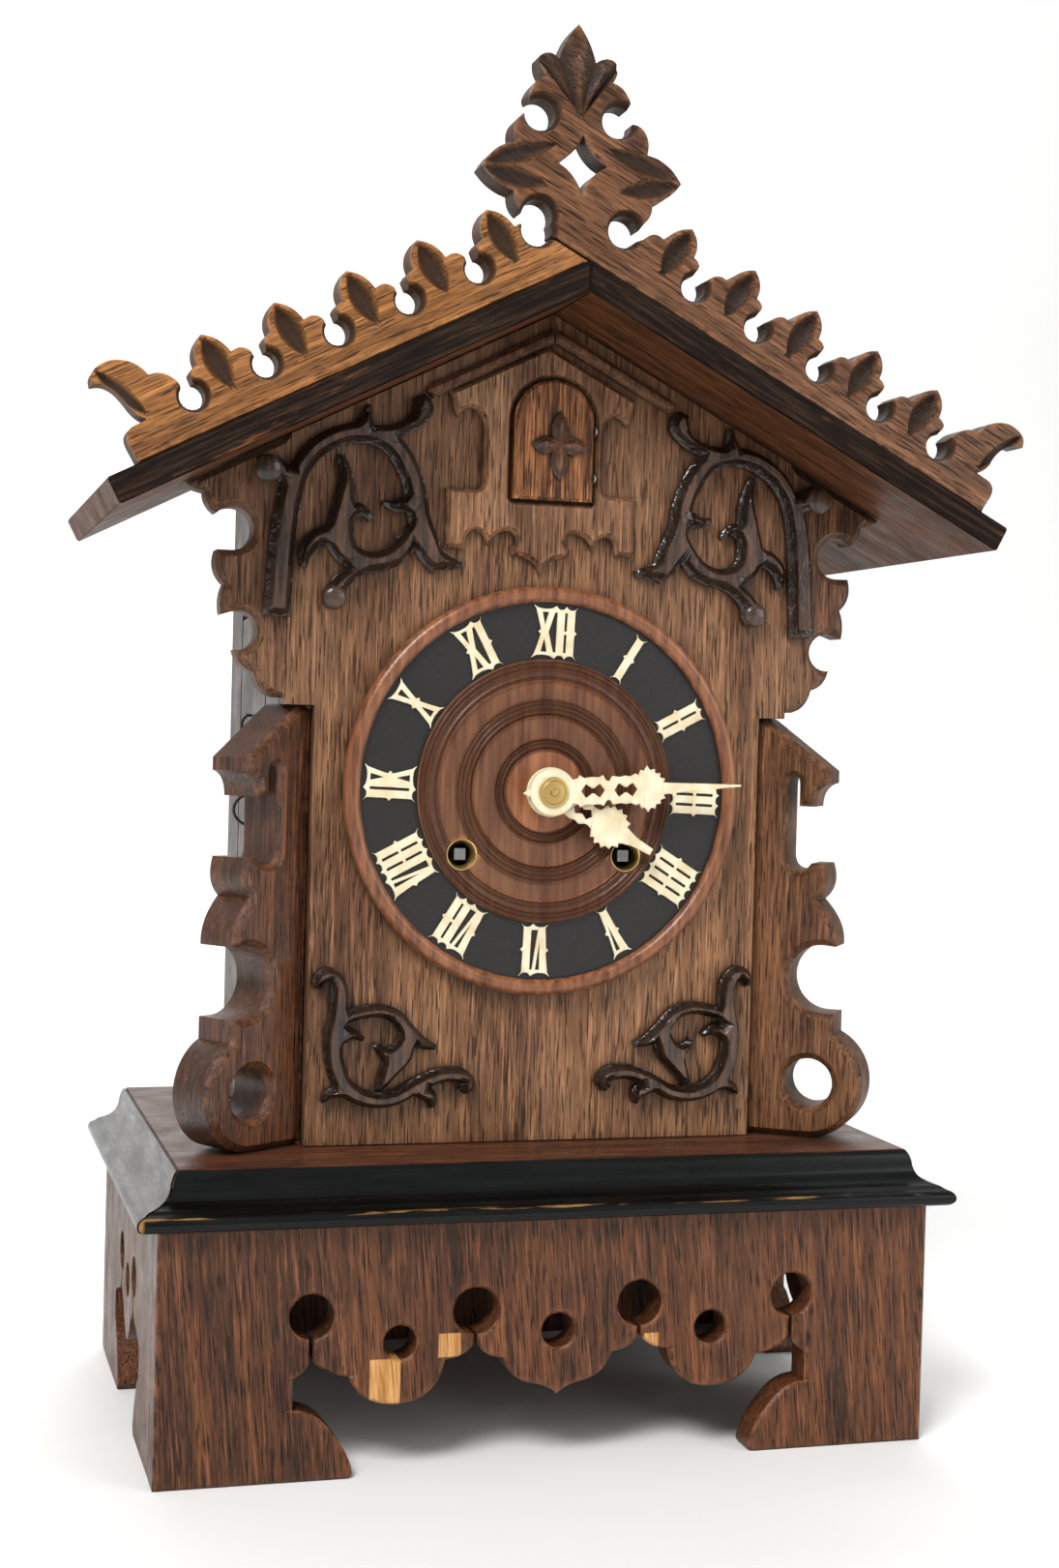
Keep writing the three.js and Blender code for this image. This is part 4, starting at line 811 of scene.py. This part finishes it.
class Gouge:
    """An almond-shaped hollow between two points."""
    ACROSS = (0.15, 0.45, 0.72, 0.93, 1.0)  # parts of the half width that get points

    def __init__(self, start, end, half, depth):
        self.start = np.array(start)
        self.run = np.array(end) - self.start
        self.half, self.depth = half, depth
        self.length = norm(self.run)
        self.side = np.array((-self.run[1], self.run[0])) / self.length

    def width(self, v):
        return self.half * sin(pi * v)**0.75

    def at(self, s, t):
        local = np.array((s, t)) - self.start
        v = float(np.dot(local, self.run)) / self.length**2
        if not 0.0 < v < 1.0:
            return 0.0
        rho = abs(float(np.dot(local, self.side))) / max(self.width(v), 1e-6)
        return self.depth * (1 - rho**2) * sin(pi * v)**0.4 if rho < 1 else 0.0

    def points(self):
        """Points along its rim and bottom, for a crisp edge."""
        count = max(6, int(self.length / 0.9))
        return [self.start + self.run * v + self.side * self.width(v) * lateral
                for v in (k / count for k in range(1, count))
                for lateral in [-part for part in self.ACROSS[::-1]] + list(self.ACROSS)]


class Fan:
    """The top leaf: facets fall away from a sharp midrib, with a rounded ear at each side."""
    ROOT, TIP = 226.0, 256.0
    SPREAD = 0.33  # how fast the leaf's facets widen upwards
    DEPTH = 2.6

    def at(self, s, t):
        rise = t - self.ROOT
        if rise <= 0:
            return 0.0
        q = abs(s - on_finial(0, t)[0]) / (self.SPREAD * rise)
        deep = self.DEPTH * min(1.0, rise / 7)
        if q < 1:
            return deep * (0.12 + 0.88 * q)
        if q < 2.3:
            return deep * (1 - 0.6 * sin(pi * (q - 1) / 1.3))
        return deep * max(0.0, 1 - (q - 2.3) / 0.2)

    def points(self):
        made = []
        level = self.ROOT + 1
        while level < self.TIP:
            for q in (0.0, 0.5, 0.96, 1.04, 1.6, 2.28, 2.5):
                for sign in (-1, 1) if q else (1,):
                    made.append(np.array(on_finial(sign * q * self.SPREAD * (level - self.ROOT),
                                                   level)))
            level += 1.1
        return made


def crest_gouges(side):
    """The hollow in each leaf along one slope, and the one in the curl at its end."""
    ends = [FIRST_HOLE + index * LEAF_PITCH for index in range(1, LEAVES + 1)]
    spans = [((end - 12.6, 9.4), (end - 10.4, 27.4), 4.3, 3.2) for end in ends]
    return [Gouge(slope_point(side, *foot), slope_point(side, *tip), half, depth)
            for foot, tip, half, depth in spans + [((157.4, 12.6), (166.4, 31.4), 2.6, 2.6)]]


def finial_gouges():
    return [Fan()] + [
        Gouge(on_finial(side * near, low), on_finial(side * 34.0, high), half, depth)
        for side in (-1, 1) for near, low, high, half, depth in (
            (9.5, 216.4, 208.6, 3.5, 2.4), (13.0, 202.6, 206.4, 3.7, 2.6))]


def round_cuts(side):
    """Middle and radius of the round cuts along one slope and round the finial."""
    made = [(slope_point(side, FIRST_HOLE + index * LEAF_PITCH, HOLE_UP), HOLE_R)
            for index in range(1, LEAVES + 1)]
    made += [(on_finial(ear * 13.6, 226.6), CUT_R) for ear in (-1, 1)]
    return made + [(foot, CUT_R) for foot in ((-18.0, 193.0), (-18.0, 188.2), (12.5, 190.2))]


def crest_relief(gouges, cuts):
    """The gouges, a scooped flare round each cut and a small worn edge elsewhere."""
    def relief(d, s, t):
        below = max(0.0, 0.5 - d)
        for (x, z), radius in cuts:
            off = (hypot(s - x, t - z) - radius) / FLARE
            if off < 1:
                below = max(below, FLARE_DEEP * (1 - max(0.0, off)**1.6))
        return max([below] + [gouge.at(s, t) for gouge in gouges])
    return relief


def cut_rims(cuts):
    """Points on and just outside the rim of each flared cut, for a crisp edge."""
    made = []
    for middle, radius in cuts:
        for beyond in (0.5, 1.0, 1.5, 1.75):
            reach = radius + beyond * FLARE / 1.5
            made += circle(reach, int(2 * pi * reach / 0.9), middle)
    return made


for side, sign in SIDES.items():
    gouges = crest_gouges(sign) + (finial_gouges() if side == "right" else [])
    cuts = round_cuts(sign)
    carve("crest_" + side, CREST_OAK[side], crest_relief(gouges, cuts), (0.5,), grid=1.9,
          extra=[point for gouge in gouges for point in gouge.points()] + cut_rims(cuts))

# four petals, each with a sharp ridge down its middle
carve("door_rosette", STAR_OAK, lambda d, s, t: max(0.0, 2.6 - 0.95 * d), (0.6, 1.2, 1.8, 2.4),
      grid=0.9)


# ---- small trim
WIRE_SIDES = 8
FITTINGS_Y = 73  # depth of the pulls and latches on the side doors
CASE_WALL = 91.6  # just inside the outer face of the case sides


def wire(name, points, radius, material, like):
    """A bent round wire with closed ends, through points given in the clock's millimetres."""
    points = [Vector(point) for point in points]
    bm = bmesh.new()
    rings = []
    for i, point in enumerate(points):
        ahead = points[min(i + 1, len(points) - 1)] - points[max(i - 1, 0)]
        turned = ahead.to_track_quat("Z", "Y").to_matrix()
        rings.append([bm.verts.new(place(*(point + turned @ Vector((x, y, 0)))))
                      for x, y in circle(radius, WIRE_SIDES)])
    for a, b in zip(rings, rings[1:]):
        # each ring is joined to the next from the nearest corner, so the tube does not twist
        join_rings(bm, a, b, min(range(WIRE_SIDES), key=lambda k: (b[k].co - a[0].co).length))
    bm.faces.new(rings[0])
    bm.faces.new(rings[-1])
    bmesh.ops.recalc_face_normals(bm, faces=bm.faces)
    add_object(name, finished(bm, name, 50), material, like, node_slot="steel")


def bow(start, end, bulge, steps=14):
    """Points of a half-round bow between two points, standing out by bulge."""
    start, end, bulge = Vector(start), Vector(end), Vector(bulge)
    return [(start + end) / 2 + (start - end) / 2 * across + bulge * out
            for across, out in arc((1, 1), 0, 180, steps)]


for side, sign in SIDES.items():
    wall = sign * CASE_WALL
    wire("pull_" + side, bow((wall, FITTINGS_Y, -5.4), (wall, FITTINGS_Y, -17),
                             (sign * 6.4, 0, 0)), 0.55, IRON, "side_door_" + side)
    hook = wall + sign * 2.6
    latch = [(wall, FITTINGS_Y, 24), (wall + sign * 2.2, FITTINGS_Y, 24.2)]
    latch += bow((hook, FITTINGS_Y, 23.4), (hook, FITTINGS_Y, 17.4), (sign * 1.2, 1.4, 0), 8)
    wire("latch_" + side, latch, 0.5, IRON, "side_door_" + side)
for index, level in enumerate((110.6, 127.2)):
    staple = bow((15.0, -3.4, level - 1.4), (15.0, -3.4, level + 1.4), (0, -2.6, 0), 10)
    wire(f"door_staple_{index}", staple, 0.5, STEEL, "door_surround")


# ---- dial
RING_IN, RING_OUT = 46.4, 66.3  # radii of the numerals' black ring, tinted as a painted reflection
DIAL_FACE = -5.6  # y of the wood between the groups of beads
# groups of turned beads: where their stain starts, radius and y of the first, the width of each
# bead, how wide the step back to the face is, and how far in the flat face then reaches
BEADS = ((RING_IN, 45.8, -6.4, (1.6, 1.5, 2.2, 1.6), 0.5, 32.5),
         (32.4, 32.4, -6.2, (1.5, 1.6, 1.6, 1.3), 0.3, 18.7),
         (18.6, 18.6, -6.1, (1.3, 1.5, 1.3), 0.2, 0))
ARBORS = ((-30.0, -22.5), (30.0, -22.5))


def beads(radius, y, widths):
    """Profile of turned beads: a run of narrow half-round grooves across a ring."""
    made = []
    for width in widths:
        made += [(radius - width * k / 6, y + 0.9 * sin(pi * k / 6)**0.6) for k in range(7)]
        radius -= width
    return made


def dial_finish():
    """Reddish lacquered wood with a flat black ring, given a painted blue-grey reflection;
    the rim and beads catch light.
    """
    s = Shader("dial")
    height = s.math("SUBTRACT", s.axis("Z"), HUB.z * MM)
    radius = s.math("SQRT", s.math("ADD", s.math("POWER", s.axis("X"), 2.0),
                                   s.math("POWER", height, 2.0)))
    grain = s.grain(14, 420, 3, 0.6)
    cloud = s.noise(40)
    speck = s.steps(s.noise(900, 2), 0.3, 0.7)
    wood = s.layered(srgb(104, 58, 36), (srgb(170, 114, 76), grain, 0.32, 0.68),
                     (srgb(126, 74, 46), cloud, 0.4, 0.7, 0, 0.6))
    for stain, first, _, widths, _, _ in BEADS:
        band = s.between(radius, first - sum(widths), stain, 0.8)
        wood = s.mix(s.times(band, 0.7), wood, srgb(58, 31, 20))
    rim = s.layered(srgb(84, 47, 29), (srgb(148, 95, 62), grain, 0.3, 0.7))
    # black paint lifted to blue-grey: a painted reflection
    black = s.mix(speck, srgb(20, 28, 31), srgb(42, 54, 58))
    on_rim = s.math("GREATER_THAN", radius, RING_OUT * MM)
    in_ring = s.times(s.math("GREATER_THAN", radius, RING_IN * MM),
                      s.math("LESS_THAN", radius, RING_OUT * MM))
    # the concave grooves between the beads are darkened: painted shade
    groove_shade = s.add("NewGeometry").outputs["Pointiness"]
    color = s.layered(s.mix(in_ring, s.mix(on_rim, wood, rim), black),
                      (srgb(24, 14, 10), groove_shade, 0.44, 0.5, 0.75, 0.0))
    rough = s.math("ADD", s.times(in_ring, 0.16), s.steps(cloud, 0.3, 0.7, 0.24, 0.4))
    return s.finish(color, rough, s.bump(s.math("ADD", grain, speck), 0.04), coat=0.2,
                    specular=0.35)


turned = [(0, -0.3), (71.2, -0.3), (72.0, -2.2), (72.0, -4.0)]
turned += arc((2.8, -2.6), 10, 170, 16, (69.2, -5.0))
turned += [(RING_OUT - 0.1, -4.4), (RING_IN + 0.2, -4.4), (RING_IN - 0.2, -6.0)]
for _, first, y, widths, step, flat_to in BEADS:
    turned += beads(first, y, widths)
    turned += [(first - sum(widths) - step, DIAL_FACE), (flat_to, DIAL_FACE)]
disc = lathe("dial_turned", turned, dial_finish(), "dial", (0, 0, 0), 160, ("dial",))
drill(disc, 0, 0, 4.0)
collar = [(5.5, -6.3), (5.5, -0.6), (4.1, -0.6), (4.3, -4.0), (4.9, -6.0), (5.2, -6.4)]
for side, (x, z) in zip(SIDES, ARBORS):
    drill(disc, x, z, 5.6)
    lathe("winding_collar_" + side, collar, BRASS, "movement_plate_front", (x, 0, z), 48)


def dome(radius, rise):
    """Profile of a shallow turned button standing on the front of a carving."""
    return [(0, 0.0), (radius, 0.0)] + arc((radius, -rise), 0, 90, 6, (0, -0.4))[:-1] + [
        (0, -0.4 - rise)]


for side, sign in SIDES.items():
    for name, button, x, z in (("scroll_ball_", dome(4.3, 2.2), 77.0, 65.0),
                               ("scroll_bulb_", dome(4.8, 2.4), 100.6, 107.6)):
        lathe(name + side, button, CARVING, "scroll_upper_" + side, (sign * x, -5.4, z), 32)


# ---- numerals
CELLS = {"I": 3.7, "V": 6.6, "X": 7.8}  # width of a letter with its share of the gap
WAISTS = {"I": 0.0, "V": 0.2, "X": 2.1}  # how far its side draws in at the middle
TALL = 9.3  # half height of a numeral
SLANT = 1.5  # how far the side of a V comes in at its foot
SPUR = 0.45  # the points that stand out halfway up a numeral
NUMERALS = ("XII", "I", "II", "III", "IIII", "V", "VI", "VII", "VIII", "IX", "X", "XI")
RING_MIDDLE = 56.0  # radius of the numerals' middles
RING_TURN = radians(2)  # the numerals sit a little clockwise


def outline_and_holes(outline, holes):
    """Loops for a board: the outline wound to the left and its holes to the right."""
    return [loop if counter_clockwise(loop) == (loop is outline) else loop[::-1]
            for loop in [outline] + holes]


def scallops(edges, sign):
    """The end of a numeral: sharp points with a hollow over each letter."""
    edges = [edges[0] - 0.5] + edges[1:-1] + [edges[-1] + 0.5]
    made = []
    for a, b in zip(edges, edges[1:]):
        made += [(a + (b - a) * k / 6, sign * (TALL - 1.25 * sin(pi * k / 6)**0.55))
                 for k in range(6)]
    return made + [(edges[-1], sign * TALL)]


def flank(x_top, x_bottom, letter, sign):
    """One side of a numeral, from its top to its foot."""
    middle = (x_top + x_bottom) / 2 - sign * WAISTS[letter]
    inner = SPUR * sign
    return [(x_top - inner, TALL - 1.4), ((x_top + middle) / 2 - inner, TALL / 2),
            (middle - inner, 0.9), (middle + inner, 0.0), (middle - inner, -0.9),
            ((x_bottom + middle) / 2 - inner, -TALL / 2), (x_bottom - inner, 1.4 - TALL)]


def openings(text, edges):
    """The sawn openings inside the letters and between them."""
    reach = TALL - 2.3
    half = 0.5  # half width of the gap between two letters
    made = []
    for letter, x0, x1 in zip(text, edges, edges[1:]):
        x = (x0 + x1) / 2
        if letter == "X":
            made += [[(x - 1.2, sign * reach), (x, sign * 2.2), (x + 1.2, sign * reach)]
                     for sign in (1, -1)]
        if letter == "V":
            made.append([(x + 0.1, reach), (x + 0.6, -3.2), (x + 1.7, reach)])
    for before, after, x in zip(text, text[1:], edges[1:]):
        if before == after == "I":
            made += [[(x - half, sign * 0.55), (x - half, sign * reach),
                      (x + half, sign * reach), (x + half, sign * 0.55)] for sign in (1, -1)]
        else:
            waist = 2.0 if before == "X" else 0.0
            foot = SLANT if before == "V" else 0.0
            made.append([(x - half, reach), (x - half - waist - foot / 2, 0.0),
                         (x - half - foot, -reach), (x + half, -reach), (x + half, reach)])
    return made


def numeral(text):
    """Outline and openings of a Roman numeral, upright and centred."""
    widths = [CELLS[letter] for letter in text]
    tops = [sum(widths[:k]) - sum(widths) / 2 for k in range(len(widths) + 1)]
    feet = list(tops)
    if text[0] == "V":
        feet[0] += SLANT
    if text[-1] == "V":
        feet[-1] -= SLANT
    outline = (scallops(tops, 1) + flank(tops[-1], feet[-1], text[-1], 1)
               + scallops(feet, -1)[::-1] + flank(tops[0], feet[0], text[0], -1)[::-1])
    return outline_and_holes(outline, openings(text, tops))


def turned_by(angle, x, z):
    """A point turned counter-clockwise about the hub."""
    return (x * cos(angle) - z * sin(angle), x * sin(angle) + z * cos(angle))


for hour, text in enumerate(NUMERALS):
    angle = -hour * pi / 6 - RING_TURN
    fret(f"numeral_{hour or 12}", Plane(UPRIGHT, -5.5, 1.0), numeral(text), "dial", 0.25,
         lambda point, angle=angle: turned_by(angle, point[0], point[1] + RING_MIDDLE))


# ---- hands
def mirrored(half):
    """A closed outline from its upper half, given from left to right along the axis."""
    return half + [(x, -z) for x, z in reversed(half) if abs(z) > 1e-6]


def lattice_hole(x0, x1, half):
    """Two diamonds joined at a narrow waist."""
    middle = (x0 + x1) / 2
    return mirrored([(x0, 0), ((x0 + middle) / 2 - 0.4, half), (middle - 0.3, 0.9),
                     (middle + 0.3, 0.9), ((x1 + middle) / 2 + 0.4, half), (x1, 0)])


def hand(node, half, holes, angle, y):
    """A sawn hand, drawn pointing right and turned by degrees to its place in the photo."""
    loops = outline_and_holes(mirrored(half), holes + [circle(2.2, 20)])
    fret(node + "_bone", Plane(UPRIGHT, y, 1.2), loops, node, 0.35,
         lambda point: turned_by(radians(angle), *point), (node,))


minute = [(-10.8, 0), (-8.9, 1.3)] + arc((8.3, 8.3), 171, 30, 16) + [
    (9.2, 4.6), (9.8, 5.6), (11.4, 4.6), (14.4, 4.9), (17.0, 4.7), (18.4, 5.4), (19.4, 3.6),
    (20.8, 3.2), (21.8, 5.0), (24.8, 4.6), (26.6, 5.0), (28.6, 4.7), (30.4, 5.6), (31.6, 5.0),
    (32.4, 6.8), (33.6, 6.4), (34.8, 8.2), (35.8, 6.6), (37.4, 7.0), (37.8, 5.4), (39.6, 5.4),
    (39.4, 4.0), (41.4, 3.4), (40.6, 2.2), (43.0, 1.9), (56, 1.2), (70.0, 0.3)]
hour = arc((8.7, 8.7), 180, 28, 16) + [
    (9.0, 4.2), (10.4, 4.6), (12.6, 4.0), (14.4, 4.6), (16.4, 3.4), (18.0, 3.4), (19.4, 3.9),
    (20.6, 6.4), (21.8, 5.8), (22.8, 7.6), (24.4, 6.6), (25.8, 7.8), (26.8, 6.4), (28.6, 6.8),
    (29.0, 5.2), (31.2, 4.8), (30.6, 3.2), (33.2, 2.4), (36, 1.7), (43.0, 1.2)]
hand("minute_hand", minute, [lattice_hole(10.2, 19.0, 2.5), lattice_hole(22.4, 31.0, 2.5)], 3,
     -15.4)
hand("hour_hand", hour, [lattice_hole(9.8, 17.6, 2.0)], -28.6, -12.6)
washer = [(0, -15.7), (5.2, -15.7), (5.4, -15.9), (5.0, -16.1), (4.2, -16.0), (3.9, -16.3),
          (2.2, -16.6), (1.3, -16.5), (1.1, -17.1), (0, -17.3)]
lathe("hand_nut_brass", washer, BRASS, "hand_nut", (0, 0, 0), 48, ("hand_nut",))


# ---- stage, lights and camera
CLOCK_MIDDLE = (0.0, 0.0, 0.25)  # metres in the frame, as is all of the stage
BACKDROP = (0.1, 1.4, 0.2)
FLOOR_HALF, FLOOR_FRONT, FLOOR_BACK, FLOOR_CURVE, BACKDROP_TOP = 3.0, -4.0, 1.2, 0.8, 3.5
CAMERA_PLACE = (-222.7, -753.4, 21.2)  # found by matching corners of the clock, in mm


def area_light(name, location, aim, size, watts, color=(1, 1, 1)):
    data = bpy.data.lights.new(name, "AREA")
    data.size = size
    data.energy = watts
    data.color = color
    lamp = new_object(name, data)
    lamp.location = location
    lamp.rotation_euler = (Vector(aim) - Vector(location)).to_track_quat("-Z", "Y").to_euler()


def floor_sheet():
    """A pale floor that curves up behind the clock into a backdrop."""
    profile = [(FLOOR_FRONT, 0.0), (FLOOR_BACK, 0.0)]
    profile += arc((FLOOR_CURVE, FLOOR_CURVE), -90, 0, 12, (FLOOR_BACK, FLOOR_CURVE))[1:]
    profile.append((FLOOR_BACK + FLOOR_CURVE, BACKDROP_TOP))
    points = [(x, y, z) for y, z in profile for x in (-FLOOR_HALF, FLOOR_HALF)]
    faces = [(i, i + 1, i + 3, i + 2) for i in range(0, len(points) - 2, 2)]
    mesh = bpy.data.meshes.new("floor")
    mesh.from_pydata(points, [], faces)
    mesh.shade_smooth()
    sheet = new_object("floor", mesh)
    s = Shader("pale floor")
    color = s.mix(s.noise(3, 2), srgb(236, 236, 235), srgb(242, 242, 241))
    mesh.materials.append(s.finish(color, 0.85))


floor_sheet()
area_light("key", (-1.0, -1.3, 1.7), CLOCK_MIDDLE, 0.7, 44, (1.0, 0.98, 0.96))
area_light("fill", (1.5, -1.4, 0.8), CLOCK_MIDDLE, 1.2, 15, (0.96, 0.98, 1.0))
area_light("backdrop", (0.2, 0.9, 2.3), BACKDROP, 1.2, 30)

world = bpy.data.worlds.new("studio")
world.use_nodes = True
sky = world.node_tree.nodes["Background"].inputs
sky["Color"].default_value = (1.0, 1.0, 1.0, 1.0)
sky["Strength"].default_value = 0.42
scene.world = world
scene.view_settings.view_transform = "Standard"

camera_data = bpy.data.cameras.new("camera")
camera_data.lens = 50.93
camera_data.sensor_width = 36.0  # along the picture's long side
camera = new_object("camera", camera_data)
right = Vector((0.96032, -0.27767, 0.02719))
up = Vector((-0.01945, 0.03061, 0.99933))
turned = Matrix((right, up, right.cross(up))).transposed().to_4x4()
camera.matrix_world = Matrix.Translation(place(*CAMERA_PLACE)) @ turned
scene.camera = camera
